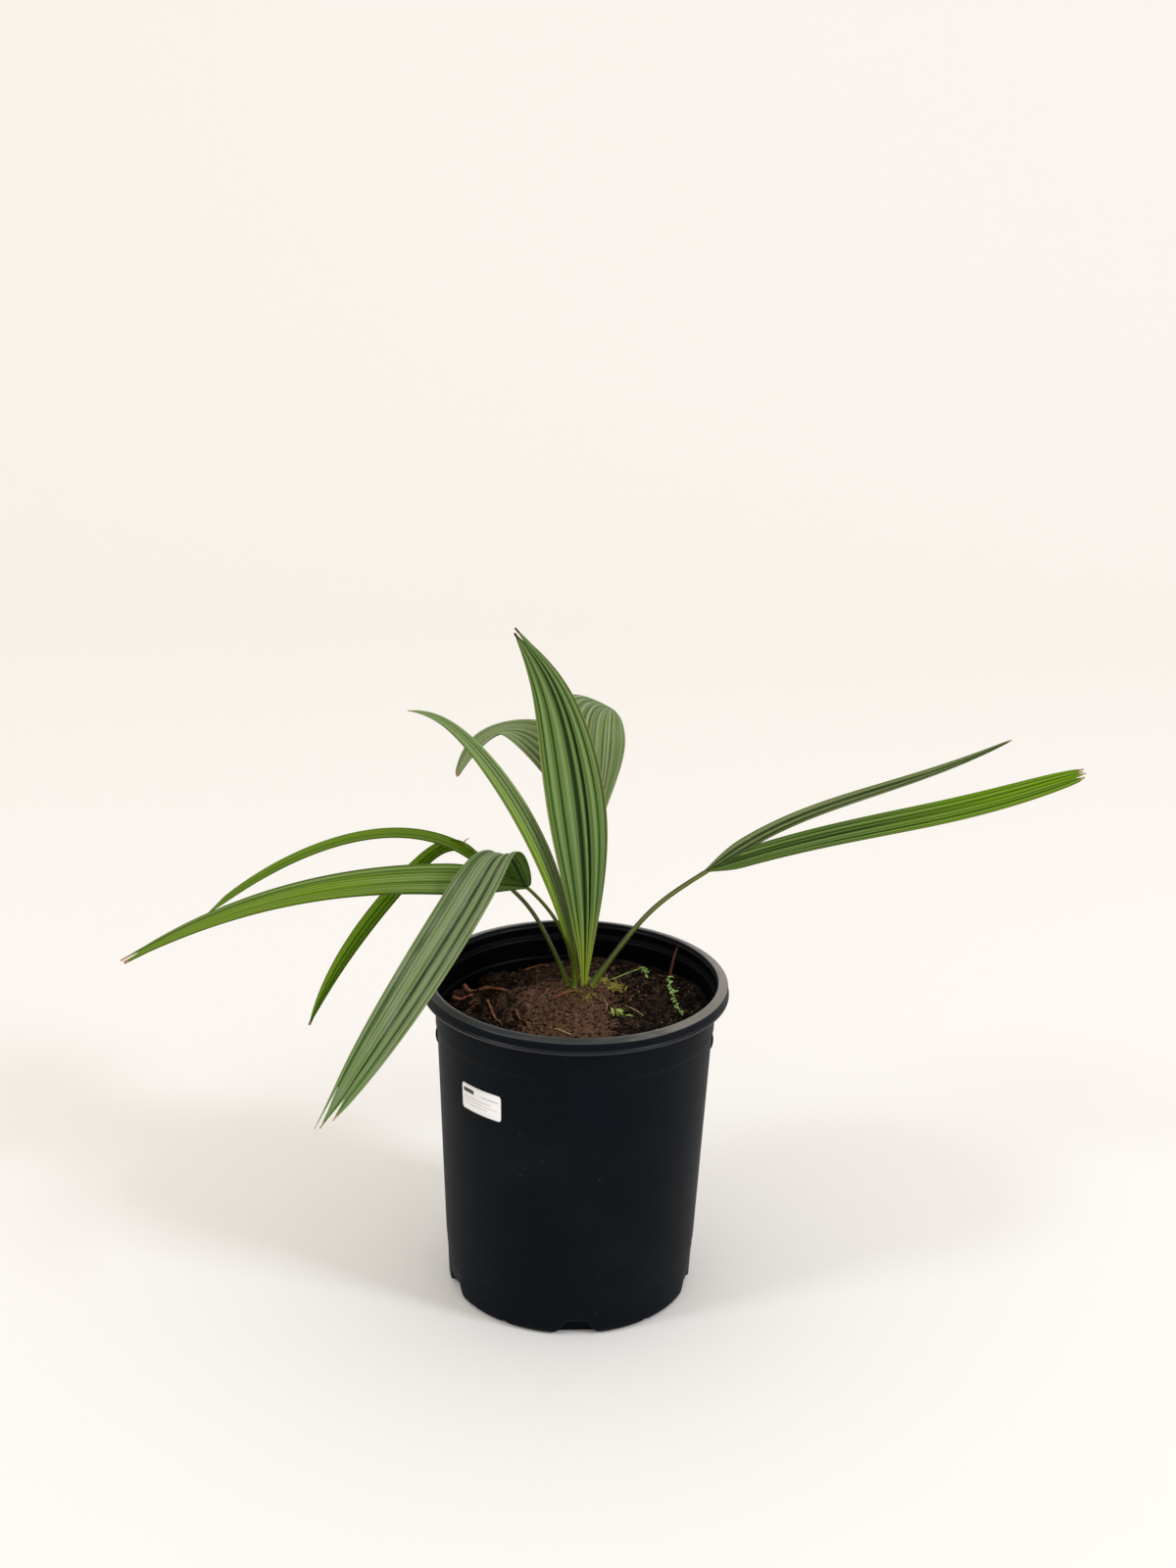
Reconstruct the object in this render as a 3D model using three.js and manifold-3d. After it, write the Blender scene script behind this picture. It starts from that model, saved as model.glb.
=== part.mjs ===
// A young dwarf palmetto in a nursery pot: five pleated, two-lobed leaves on thin stalks.
// Millimetres, +Z up. The origin is the centre of the pot's flat underside, -Y faces the front.
import * as THREE from 'three';
import { mergeVertices } from 'three/addons/utils/BufferGeometryUtils.js';
import Module from 'manifold-3d';

const wasm = await Module();
wasm.setup();

// Driving dimensions of the pot
const POT = {
  rimRadius: 110, height: 242, mouthRadius: 102.5, mouthFall: 1, wall: 1.8, segments: 48,
  neckRadius: 101.85, neckHeight: 207, neckStep: 1, innerStep: 0.8, innerSteps: [215, 229.5],
  bottomRadius: 91.4, skirtHeight: 38, skirtStep: 0.3, ringHeight: 30, stepRise: 1,
  footRadius: 90, footCorner: 2, innerFoot: 80, footSlope: 4, floorHeight: 16, floor: 2.8,
  padRadius: 46, padSlope: 6, padRise: 8, edge: 0.6,
};
const RIM = { fall: 1.5, band: 10, edge: 0.8, lipOut: 0.5, lipHeight: 1.6, lipEdge: 0.8, skin: 2.4 };
const NOTCH = {
  count: 5, turn: 275.5, height: 8.5, top: 24, bottom: 35, inset: 8, depth: 20, below: 2,
  stepHeight: 1.5, stepWidth: 7,
};
const LUG = { turns: [184, 356], width: 3, depth: 3, bottom: 190, top: 203, proud: 1.5 };
const LABEL = {
  width: 37, height: 20, corner: 2, cornerCut: 0.98, thickness: 0.5, turn: 228.9, middle: 177, columns: 14,
};

// Driving dimensions of the soil and of the plant's foot
const SOIL = {
  level: 211, tilt: 0.08, mound: 13, spread: 36, ripple: 1.2, wave: [11, 9], shift: [1.3, -0.6],
  gap: 0.45, segments: 36, rings: [0.18, 0.36, 0.54, 0.72, 0.88, 1],
};
const CROWN = { x: 4, y: 20, bottom: 222.4, top: 226, radius: 11, neck: 8.5, seat: 13, sides: 20 };
const TRIM_SIZE = 66;

// Driving dimensions that all leaves share
const GAP = 0.35;
const STALK = { diameter: 4.4, flatness: 0.85, sides: 8, steps: 13 };
const BLADE = {
  slenderness: 98, leastThickness: 2, edge: 0.6, tipWidth: 2.4, foot: 5.5, swell: 1.2,
  pleat: 2.4, pleatShare: 0.3, cup: 0.08, steps: 20, partSteps: 4, leastSteps: 6,
};
const CLEFT = { width: 3.2, depth: 16, start: 0.1, past: 0.02 };
const LIMB = { lineSteps: 80, crowding: 0.7, halvings: 30 };

// Each stalk leaves its foot at a heading and a rise, in degrees, and its fold bends it over on the way.
const STALKS = {
  front: { foot: [-1, 17, 226], heading: 192, turn: 4, rise: 89, fold: -45, at: 0.4, over: 0.38, length: 92 },
  left: { foot: [-5, 22, 226], heading: 168, turn: 1, rise: 65, fold: -32, at: 0.7, over: 0.13, length: 99 },
  right: { foot: [11, 20, 226], heading: 18, turn: 1, rise: 53, fold: -25, at: 0.6, over: 0.1, length: 121 },
  back: { foot: [6, 28, 226], heading: 82, turn: 0, rise: 76, fold: 12, at: 0.5, over: 0.25, length: 87 },
};

// Each blade starts at its foot or at its stalk's end. sag and sway bend it evenly along its length, roll and
// twist turn its face, its width is greatest at peak, and split gives the parts that meet at its bend.
const BLADES = {
  upright_broad: {
    foot: [6, 17, 226], heading: 192, turn: 6.6, rise: 91, fold: -19.9, at: 0.842, over: 0.0613, sag: -18.4,
    sway: -6.9, length: 282, width: 42.1, roll: 57.9, twist: 67.7, peak: 0.513, blunt: 0.92, folds: 4,
  },
  upright_narrow: {
    foot: [1, 20.5, 226], heading: 189, turn: 1.4, rise: 83.4, fold: -38.3, at: 0.958, over: 0.052,
    sag: -40.9, sway: 1, length: 259, width: 21.6, roll: 32.3, twist: 8.7, peak: 0.422, blunt: 0.968,
    folds: 2,
  },
  back_right: {
    stalk: 'back', heading: 102, turn: -33.9, rise: 81.5, fold: -120, at: 0.685, over: 0.0797, sag: 4,
    sway: -17.2, length: 162, width: 51.2, roll: -36.7, twist: 26.3, peak: 0.58, blunt: 0.624, folds: 3,
    split: 0.66,
  },
  back_left: {
    stalk: 'back', heading: 137, turn: 74.8, rise: 97, fold: -22.7, at: 0.737, over: 0.0491, sag: -138,
    sway: 0, length: 189, width: 43.1, roll: 55.4, twist: -81.5, peak: 0.649, blunt: 0.3, folds: 3,
    split: 0.6,
  },
  front_hanging: {
    stalk: 'front', heading: 193, turn: 38.9, rise: 114, fold: -160, at: 0.0779, over: 0.0516, sag: 3.3,
    sway: -8.3, length: 268, width: 38.8, roll: -4.3, twist: 27.1, peak: 0.294, blunt: 0.593, folds: 4,
    split: 0.12, cleft: { from: 0.9, across: -0.3 },
  },
  front_long: {
    stalk: 'front', heading: 179, turn: 14.9, rise: 6.2, fold: -26.1, at: 0.625, over: 0.411, sag: -4.3,
    sway: 10.7, length: 294, width: 37.5, roll: 18.6, twist: -25.5, peak: 0.193, blunt: 0.6, folds: 3,
  },
  left_arching: {
    stalk: 'left', heading: 166, turn: 8.7, rise: 46.3, fold: -50.7, at: 0.0715, over: 0.175, sag: -34.7,
    sway: 16.3, length: 232, width: 19.4, roll: -1.4, twist: 8.1, peak: 0.106, blunt: 0.388, folds: 2,
    split: 0.42,
  },
  left_hanging: {
    stalk: 'left', heading: 160, turn: 48.4, rise: 50.4, fold: -86, at: 0.172, over: 0.0366, sag: -33.7,
    sway: -44.5, length: 224, width: 20.5, roll: -62.2, twist: 26.8, peak: 0.431, blunt: 0.884, folds: 2,
    split: 0.17,
  },
  right_upper: {
    stalk: 'right', heading: 9, turn: 3.4, rise: 38.9, fold: -46.9, at: 0.151, over: 0.183, sag: 27.9,
    sway: 8, length: 252, width: 17.5, roll: 58.9, twist: -6.8, peak: 0.135, blunt: 0.531, folds: 2,
  },
  right_lower: {
    stalk: 'right', heading: 10.8, turn: 4.1, rise: 17.3, fold: 20.1, at: 0.715, over: 0.141, sag: -21.7,
    sway: -5.4, length: 293, width: 29.9, roll: 0.2, twist: -29.3, peak: 0.08, blunt: 0.323, folds: 3,
    cleft: { from: 0.93, across: 0.1 },
  },
};

const radians = THREE.MathUtils.degToRad;
const ramp = (x) => 1 / (1 + Math.exp(-x));

// Materials
const MATERIALS = {
  pot: new THREE.MeshStandardMaterial({ color: 0x14171b, roughness: 0.5, metalness: 0 }),
  soil: new THREE.MeshStandardMaterial({ color: 0x2e2019, roughness: 1, metalness: 0 }),
  blade: new THREE.MeshStandardMaterial({ color: 0x47702f, roughness: 0.5, metalness: 0 }),
  stalk: new THREE.MeshStandardMaterial({ color: 0x5c7a2c, roughness: 0.5, metalness: 0 }),
  crown: new THREE.MeshStandardMaterial({ color: 0xa5ae45, roughness: 0.6, metalness: 0 }),
  label: new THREE.MeshStandardMaterial({ color: 0xf2f2f0, roughness: 0.6, metalness: 0 }),
};

// Turns a closed geometry into a solid that can be joined and cut, with its faces pointing out.
function solid(geometry) {
  const bare = geometry.index ? geometry.toNonIndexed() : geometry.clone();
  for (const name of ['normal', 'uv']) bare.deleteAttribute(name);
  const merged = mergeVertices(bare, 1e-4);
  const made = (list) => new wasm.Manifold(new wasm.Mesh({
    numProp: 3,
    vertProperties: new Float32Array(merged.attributes.position.array),
    triVerts: new Uint32Array(list),
  }));
  const body = made(merged.index.array);
  return body.volume() > 0 ? body : made([...merged.index.array].reverse());
}

function geometryOf(body) {
  const mesh = body.getMesh();
  const geometry = new THREE.BufferGeometry();
  geometry.setAttribute('position', new THREE.BufferAttribute(new Float32Array(mesh.vertProperties), 3));
  geometry.setIndex(new THREE.BufferAttribute(new Uint32Array(mesh.triVerts), 1));
  geometry.computeVertexNormals();
  return geometry;
}

// The largest body that is left after a cut.
function largest(body) {
  return body.decompose().sort((a, b) => b.volume() - a.volume())[0];
}

// Joins rings of points, all with the same count, into a closed skin with flat ends.
function skin(rings) {
  const count = rings[0].length;
  const positions = rings.flat().flatMap((p) => [p.x, p.y, p.z]);
  const faces = [];
  for (let i = 0; i + 1 < rings.length; i++) {
    for (let j = 0; j < count; j++) {
      const k = (j + 1) % count;
      const [a, b, c, d] = [i * count + j, i * count + k, (i + 1) * count + k, (i + 1) * count + j];
      faces.push(a, b, c, a, c, d);
    }
  }
  return { positions, faces, count };
}

// A tube's end is a fan, and a blade's end is a strip between its upper and lower edge.
function closedSkin(rings, strip) {
  const { positions, faces, count } = skin(rings);
  const last = (rings.length - 1) * count;
  const half = count / 2;
  const caps = [];
  if (strip) {
    for (let j = 0; j + 1 < half; j++) {
      const [a, b, c, d] = [j, j + 1, count - 2 - j, count - 1 - j];
      caps.push([a, c, b], [a, d, c]);
    }
  } else {
    for (let j = 1; j + 1 < count; j++) caps.push([0, j + 1, j]);
  }
  for (const [a, b, c] of caps) faces.push(a, b, c, last + a, last + c, last + b);
  const geometry = new THREE.BufferGeometry();
  geometry.setAttribute('position', new THREE.Float32BufferAttribute(positions, 3));
  geometry.setIndex(faces);
  return geometry;
}

// How much of its fold a limb has made at the share s of its length.
function bend(limb, s) {
  const start = ramp(-limb.at / limb.over);
  const end = ramp((1 - limb.at) / limb.over);
  return (ramp((s - limb.at) / limb.over) - start) / (end - start);
}

function direction(limb, s) {
  const heading = radians(limb.heading + limb.turn * bend(limb, s) + (limb.sway ?? 0) * s);
  const rise = radians(limb.rise + limb.fold * bend(limb, s) + (limb.sag ?? 0) * s);
  return { heading, rise };
}

function tangentAt(limb, s) {
  const { heading, rise } = direction(limb, s);
  const level = Math.cos(rise);
  return new THREE.Vector3(level * Math.cos(heading), level * Math.sin(heading), Math.sin(rise));
}

// The point at the share s of the limb's length, by adding up short steps along its direction.
function pointAt(limb, foot, s) {
  const steps = Math.max(1, Math.round(s * LIMB.lineSteps));
  const point = foot.clone();
  for (let i = 0; i < steps; i++) {
    point.addScaledVector(tangentAt(limb, ((i + 0.5) / steps) * s), (limb.length * s) / steps);
  }
  return point;
}

// The limb's own axes: its tangent, its face and its side.
function axesAt(limb, s) {
  const { heading, rise } = direction(limb, s);
  const tangent = tangentAt(limb, s);
  const up = new THREE.Vector3(
    -Math.sin(rise) * Math.cos(heading), -Math.sin(rise) * Math.sin(heading), Math.cos(rise));
  const across = tangent.clone().cross(up);
  const roll = radians((limb.roll ?? 0) + (limb.twist ?? 0) * s);
  const side = across.clone().multiplyScalar(Math.cos(roll)).addScaledVector(up, Math.sin(roll));
  const face = up.clone().multiplyScalar(Math.cos(roll)).addScaledVector(across, -Math.sin(roll));
  return { tangent, side, face };
}

// Shares of the length, closer together where the limb folds.
function stations(limb, from, to, steps) {
  const measure = (s) => s + LIMB.crowding * bend(limb, s);
  const list = [];
  for (let i = 0; i <= steps; i++) {
    const goal = THREE.MathUtils.lerp(measure(from), measure(to), i / steps);
    let [low, high] = [from, to];
    for (let k = 0; k < LIMB.halvings; k++) {
      const middle = (low + high) / 2;
      if (measure(middle) < goal) low = middle; else high = middle;
    }
    list.push((low + high) / 2);
  }
  return list;
}

function widthAt(blade, s) {
  if (s < blade.peak) {
    const rise = Math.sin((Math.PI / 2) * (s / blade.peak)) ** BLADE.swell;
    return THREE.MathUtils.lerp(BLADE.foot, blade.width, rise);
  }
  const fall = (s - blade.peak) / (1 - blade.peak);
  return Math.max(BLADE.tipWidth, blade.width * Math.max(0, 1 - fall * fall) ** blade.blunt);
}

// A ring round the blade: along its pleated upper face and back along the lower one.
function bladeRing(blade, foot, s, grow) {
  const { side, face } = axesAt(blade, s);
  const centre = pointAt(blade, foot, s);
  const width = widthAt(blade, s);
  const half = width / 2 + grow;
  const columns = 2 * blade.folds;
  const depth = Math.min(BLADE.pleat, (BLADE.pleatShare * width) / blade.folds);
  const thickness = Math.max(BLADE.leastThickness, blade.length / BLADE.slenderness);
  const ring = [];
  for (const level of [-0.5, 0.5]) {
    for (let j = 0; j <= columns; j++) {
      const u = level < 0 ? j : columns - j;
      const across = (2 * u) / columns - 1;
      const fold = (u % 2 ? -0.5 : 0.5) * depth + BLADE.cup * width * (across * across - 1 / 3);
      const deep = thickness * (u % columns ? 1 : BLADE.edge) + 2 * grow;
      const point = centre.clone().addScaledVector(side, across * half);
      ring.push(point.addScaledVector(face, fold + level * deep));
    }
  }
  return ring;
}

function bladeSolid(blade, foot, from, to, grow = 0) {
  const whole = to - from === 1;
  const wanted = Math.round(BLADE.steps * (to - from) + (whole ? 0 : BLADE.partSteps));
  const steps = Math.max(BLADE.leastSteps, wanted);
  const rings = stations(blade, from, to, steps).map((s) => bladeRing(blade, foot, s, grow));
  return solid(closedSkin(rings, true));
}

// A wedge that opens toward the tip, to part the last leaflets of a blade.
function cleftSolid(blade, foot) {
  const { from, across } = blade.cleft;
  const rings = [from, 1, 1 + CLEFT.past].map((s) => {
    const { side, face } = axesAt(blade, s);
    const centre = pointAt(blade, foot, s).addScaledVector(side, (across * widthAt(blade, from)) / 2);
    const open = Math.max(CLEFT.start, (CLEFT.width * (s - from)) / (1 - from)) / 2;
    return [[-open, -1], [open, -1], [open, 1], [-open, 1]].map(([out, level]) => centre.clone()
      .addScaledVector(side, out).addScaledVector(face, (level * CLEFT.depth) / 2));
  });
  return solid(closedSkin(rings, true));
}

function stalkSolid(stalk, grow = 0) {
  const foot = new THREE.Vector3(...stalk.foot);
  const rings = stations(stalk, 0, 1, STALK.steps).map((s) => {
    const { side, face } = axesAt(stalk, s);
    const centre = pointAt(stalk, foot, s);
    return Array.from({ length: STALK.sides }, (_, j) => {
      const angle = (2 * Math.PI * j) / STALK.sides;
      const radius = STALK.diameter / 2 + grow;
      return centre.clone().addScaledVector(side, Math.cos(angle) * radius)
        .addScaledVector(face, Math.sin(angle) * radius * STALK.flatness);
    });
  });
  return solid(closedSkin(rings, false));
}

// A block below the top of the crown, to trim the feet of the leaves level.
function trimBlock() {
  return solid(new THREE.BoxGeometry(TRIM_SIZE, TRIM_SIZE, TRIM_SIZE)
    .translate(CROWN.x, CROWN.y, CROWN.top - TRIM_SIZE / 2));
}

// The radius of the pot's wall at a height: outside, where it steps out at the neck, and inside.
function taper(z) {
  return THREE.MathUtils.lerp(POT.bottomRadius, POT.neckRadius, z / (POT.height - RIM.band));
}

function wallRadius(z) {
  return taper(z) - (z < POT.neckHeight ? POT.neckStep : 0);
}

function innerRadius(z) {
  const steps = POT.innerSteps.filter((step) => z > step).length;
  return taper(z) - POT.neckStep - POT.wall + POT.innerStep * steps;
}

function turned(profile, segments) {
  const points = profile.map(([r, z]) => new THREE.Vector2(r, z));
  points.push(points[0].clone());
  return solid(new THREE.LatheGeometry(points, segments).rotateX(Math.PI / 2));
}

// A cutter for the foot of the wall, wider at the ground than at its top.
function notchSolid(bottom, top, height, turn) {
  const shape = new THREE.Shape([
    new THREE.Vector2(-bottom / 2, -NOTCH.below), new THREE.Vector2(bottom / 2, -NOTCH.below),
    new THREE.Vector2(top / 2, height), new THREE.Vector2(-top / 2, height),
  ]);
  const bar = new THREE.ExtrudeGeometry(shape, { depth: NOTCH.depth, bevelEnabled: false });
  return solid(bar.rotateX(Math.PI / 2).rotateZ(Math.PI / 2)
    .translate(POT.innerFoot - NOTCH.inset, 0, 0).rotateZ(radians(turn)));
}

function potBody() {
  const { height, wall, rimRadius, mouthRadius, padRadius, innerFoot, footRadius, footCorner, edge } = POT;
  const { ringHeight, skirtHeight, skirtStep, neckHeight, stepRise } = POT;
  const lip = height - RIM.band;
  const dome = POT.floorHeight - wall;
  const shoulder = height - RIM.fall;
  const under = [[0, 0], [padRadius, 0], [padRadius + POT.padSlope, dome], [innerFoot - POT.footSlope, dome]];
  const foot = [[innerFoot, 0], [footRadius - footCorner, 0], [footRadius, footCorner]];
  const skirt = [
    [wallRadius(ringHeight) - 2 * skirtStep, ringHeight - stepRise],
    [wallRadius(ringHeight) - skirtStep, ringHeight],
    [wallRadius(skirtHeight) - skirtStep, skirtHeight - stepRise], [wallRadius(skirtHeight), skirtHeight],
  ];
  const neck = [
    [wallRadius(neckHeight - stepRise), neckHeight - stepRise], [wallRadius(neckHeight), neckHeight],
    [POT.neckRadius, shoulder - RIM.skin - edge], [rimRadius - wall, shoulder - RIM.skin],
  ];
  const rim = [
    [rimRadius - wall, lip], [rimRadius + RIM.lipOut, lip], [rimRadius + RIM.lipOut, lip + RIM.lipHeight],
    [rimRadius, lip + RIM.lipHeight + RIM.lipEdge], [rimRadius, shoulder - RIM.edge],
    [rimRadius - RIM.edge, shoulder], [mouthRadius + edge, height], [mouthRadius, height - edge],
  ];
  const mouth = [[mouthRadius - POT.mouthFall, lip]];
  for (const z of [...POT.innerSteps].reverse()) {
    mouth.push([innerRadius(z + edge), z + edge], [innerRadius(z - edge), z - edge]);
  }
  const inside = [
    [innerRadius(skirtHeight), skirtHeight], [innerFoot + wall, POT.floorHeight],
    [padRadius + POT.padRise, POT.floorHeight], [padRadius, POT.floor], [0, POT.floor],
  ];
  let body = turned([...under, ...foot, ...skirt, ...neck, ...rim, ...mouth, ...inside], POT.segments);
  for (let i = 0; i < NOTCH.count; i++) {
    const turn = NOTCH.turn + (360 / NOTCH.count) * i;
    body = body.subtract(notchSolid(NOTCH.bottom, NOTCH.top, NOTCH.height, turn));
    const half = turn + 180 / NOTCH.count;
    body = body.subtract(notchSolid(NOTCH.stepWidth, NOTCH.stepWidth, NOTCH.stepHeight, half));
  }
  const tall = LUG.top - LUG.bottom;
  for (const turn of LUG.turns) {
    const out = wallRadius(LUG.bottom) + LUG.proud - LUG.depth / 2;
    const lug = new THREE.BoxGeometry(LUG.depth, LUG.width, tall)
      .translate(out, 0, LUG.bottom + tall / 2).rotateZ(radians(turn));
    body = body.add(solid(lug));
  }
  return largest(body);
}

// The height of the soil's surface: it slopes a little, rises to a mound at the plant and is flat under it.
function soilHeight(x, y) {
  const away = Math.hypot(x - CROWN.x, y - CROWN.y);
  const mound = SOIL.mound * Math.exp(-((away / SOIL.spread) ** 2) / 2);
  const wave = [x, y].map((value, i) => Math.sin(value / SOIL.wave[i] + SOIL.shift[i]));
  const ripple = SOIL.ripple * wave[0] * wave[1];
  const open = SOIL.level + SOIL.tilt * x + mound + ripple;
  return away < CROWN.seat ? CROWN.bottom - GAP : Math.min(open, CROWN.bottom - GAP);
}

function soilBody() {
  const { gap, level: top } = SOIL;
  const [floor, dome] = [POT.floor + gap, POT.floorHeight + gap];
  const inner = (z) => innerRadius(z) - gap;
  const rings = SOIL.rings.map((share) => [share * inner(top), top]);
  const profile = [
    [0, floor], [POT.padRadius - gap, floor], [POT.padRadius + POT.padRise - gap, dome],
    [POT.innerFoot + POT.wall - gap, dome], [inner(POT.skirtHeight), POT.skirtHeight], ...rings.reverse(),
    [0, top],
  ];
  const points = profile.map(([r, z]) => new THREE.Vector2(r, z));
  const geometry = new THREE.LatheGeometry(points, SOIL.segments).rotateX(Math.PI / 2);
  const position = geometry.attributes.position;
  for (let i = 0; i < position.count; i++) {
    if (position.getZ(i) < top - 1) continue;
    const [x, y] = [position.getX(i), position.getY(i)];
    const height = soilHeight(x, y);
    const fit = Math.hypot(x, y) > inner(top) - 1 ? inner(Math.min(height, top)) / inner(top) : 1;
    position.setXYZ(i, x * fit, y * fit, height);
  }
  return solid(geometry);
}

// The short stem: a stub with a flat cut below and a shallow domed top that the leaves stand on.
function crownBody() {
  const height = CROWN.top - GAP - CROWN.bottom;
  const geometry = new THREE.CylinderGeometry(CROWN.neck, CROWN.radius, height, CROWN.sides)
    .rotateX(Math.PI / 2).translate(CROWN.x, CROWN.y, CROWN.bottom + height / 2);
  return solid(geometry);
}

// The label: a thin plate that follows the wall, with its corners cut.
function labelBody() {
  const rings = [];
  for (let i = 0; i <= LABEL.columns; i++) {
    const along = LABEL.width * (i / LABEL.columns - 0.5);
    const edge = Math.abs(along) - (LABEL.width / 2 - LABEL.corner);
    const cut = edge > 0 ? LABEL.corner - Math.sqrt(Math.max(0, LABEL.corner ** 2 - edge ** 2)) : 0;
    const ring = [];
    for (const [lift, level] of [[0, -1], [1, -1], [1, 1], [0, 1]]) {
      const z = LABEL.middle + level * (LABEL.height / 2 - cut * LABEL.cornerCut);
      const radius = wallRadius(z) + GAP + lift * LABEL.thickness;
      const angle = radians(LABEL.turn) + along / wallRadius(LABEL.middle);
      ring.push(new THREE.Vector3(radius * Math.cos(angle), radius * Math.sin(angle), z));
    }
    rings.push(ring);
  }
  return solid(closedSkin(rings, true));
}

const plant = new THREE.Group();

function place(name, body, material) {
  const mesh = new THREE.Mesh(geometryOf(body), MATERIALS[material]);
  mesh.name = name;
  plant.add(mesh);
}

place('pot', potBody(), 'pot');
place('soil', soilBody(), 'soil');
place('crown', crownBody(), 'crown');
place('label', labelBody(), 'label');

const level = trimBlock();
const grownStalks = [];
for (const [name, stalk] of Object.entries(STALKS)) {
  place(`stalk_${name}`, largest(stalkSolid(stalk).subtract(level)), 'stalk');
  grownStalks.push(stalkSolid(stalk, GAP));
}

// Each blade is cut clear of the stalks and of the blades before it, and parts of one blade meet with a gap.
const grownBlades = [];
for (const [name, blade] of Object.entries(BLADES)) {
  const foot = blade.stalk
    ? pointAt(STALKS[blade.stalk], new THREE.Vector3(...STALKS[blade.stalk].foot), 1)
    : new THREE.Vector3(...blade.foot);
  const seam = GAP / blade.length;
  const parts = blade.split
    ? [['root', 0, blade.split - seam], ['tip', blade.split + seam, 1]]
    : [['', 0, 1]];
  for (const [label, from, to] of parts) {
    let body = bladeSolid(blade, foot, from, to).subtract(level);
    if (blade.cleft && to === 1) body = body.subtract(cleftSolid(blade, foot));
    for (const other of [...grownStalks, ...grownBlades]) body = body.subtract(other);
    place(`leaf_${name}${label ? `_${label}` : ''}`, largest(body), 'blade');
  }
  grownBlades.push(bladeSolid(blade, foot, 0, 1, GAP));
}

export default plant;
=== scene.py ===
"""The looks of a young dwarf palmetto in a round nursery pot, built round the fixed frame.

Each sub-assembly is a class that holds its sizes in millimetres and degrees and builds its own meshes; a mesh
becomes metres when it is made into a piece. A leaf follows the same rule as its solid: a limb that turns and
folds at a named share of its length, with a pleated blade on it. Everything rides on the plant's one body.
"""

import logging
import math
from dataclasses import dataclass, field
from enum import Enum
from typing import Any, Sequence

import bpy
import numpy as np
from mathutils import Matrix


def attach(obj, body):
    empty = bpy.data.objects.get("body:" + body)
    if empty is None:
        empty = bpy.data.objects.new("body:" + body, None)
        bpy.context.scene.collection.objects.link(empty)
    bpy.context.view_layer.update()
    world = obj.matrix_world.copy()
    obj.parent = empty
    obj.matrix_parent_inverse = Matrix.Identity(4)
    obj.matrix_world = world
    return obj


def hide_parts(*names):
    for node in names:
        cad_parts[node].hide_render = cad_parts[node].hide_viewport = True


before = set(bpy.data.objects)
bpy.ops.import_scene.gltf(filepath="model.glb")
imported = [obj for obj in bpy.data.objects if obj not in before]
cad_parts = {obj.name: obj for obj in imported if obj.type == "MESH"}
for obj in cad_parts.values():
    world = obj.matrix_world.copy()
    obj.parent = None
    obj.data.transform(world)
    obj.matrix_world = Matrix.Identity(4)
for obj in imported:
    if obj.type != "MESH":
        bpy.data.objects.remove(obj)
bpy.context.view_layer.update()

LOG = logging.getLogger("palmetto")
MM = 0.001
ROOT = "root"
Array = np.ndarray
Colour = tuple[float, float, float]
Outline = list[tuple[float, float]]


def shade(red: int, green: int, blue: int) -> Colour:
    """Turns a colour as it is seen, in steps of 0 to 255, into the shader's linear colour.

    Args:
        red: red step.
        green: green step.
        blue: blue step.

    Returns:
        The linear colour.
    """
    def linear(step: int) -> float:
        """The linear value of one step."""
        value = step / 255
        return value / 12.92 if value <= 0.04045 else ((value + 0.055) / 1.055) ** 2.4
    return linear(red), linear(green), linear(blue)


def smooth(low: float, high: float, value: Array | float) -> Array:
    """Rises softly from 0 at low to 1 at high.

    Args:
        low: where the rise starts.
        high: where it ends.
        value: the numbers to place on it.

    Returns:
        The share of the rise at each number.
    """
    share = np.clip((np.asarray(value, float) - low) / (high - low), 0, 1)
    return share * share * (3 - 2 * share)


def lerp(start: Any, end: Any, share: Any) -> Any:
    """Goes from start to end by a share."""
    return start + (end - start) * share


def circle(count: int) -> Array:
    """Angles once round a circle, in radians."""
    return np.linspace(0, 2 * np.pi, count, endpoint=False)


def placed(name: str, data: bpy.types.ID) -> bpy.types.Object:
    """Makes an object and puts it in the scene.

    Args:
        name: the object's name.
        data: its mesh, light or camera.

    Returns:
        The new object.
    """
    made = bpy.data.objects.new(name, data)
    bpy.context.scene.collection.objects.link(made)
    return made


def turn_along(made: bpy.types.Object, forward: Array, place: Sequence[float], roll: float = 0.0) -> None:
    """Points a camera or a light along a direction.

    Args:
        made: the camera or the light.
        forward: the direction, one long.
        place: where it stands, in metres.
        roll: its turn about the direction, in radians.
    """
    right = np.cross(forward, [0, 0, 1])
    right /= np.linalg.norm(right)
    up = np.cross(right, forward)
    axes = np.eye(4)
    axes[:3, 0] = right * math.cos(roll) + up * math.sin(roll)
    axes[:3, 1] = up * math.cos(roll) - right * math.sin(roll)
    axes[:3, 2], axes[:3, 3] = -forward, place
    made.matrix_world = Matrix(axes.tolist())


class Slot(Enum):
    """The finishes that the record names."""

    POT = "pot"
    SOIL = "soil"
    BLADE = "blade"
    STALK = "stalk"
    CROWN = "crown"
    LABEL = "label"


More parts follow.
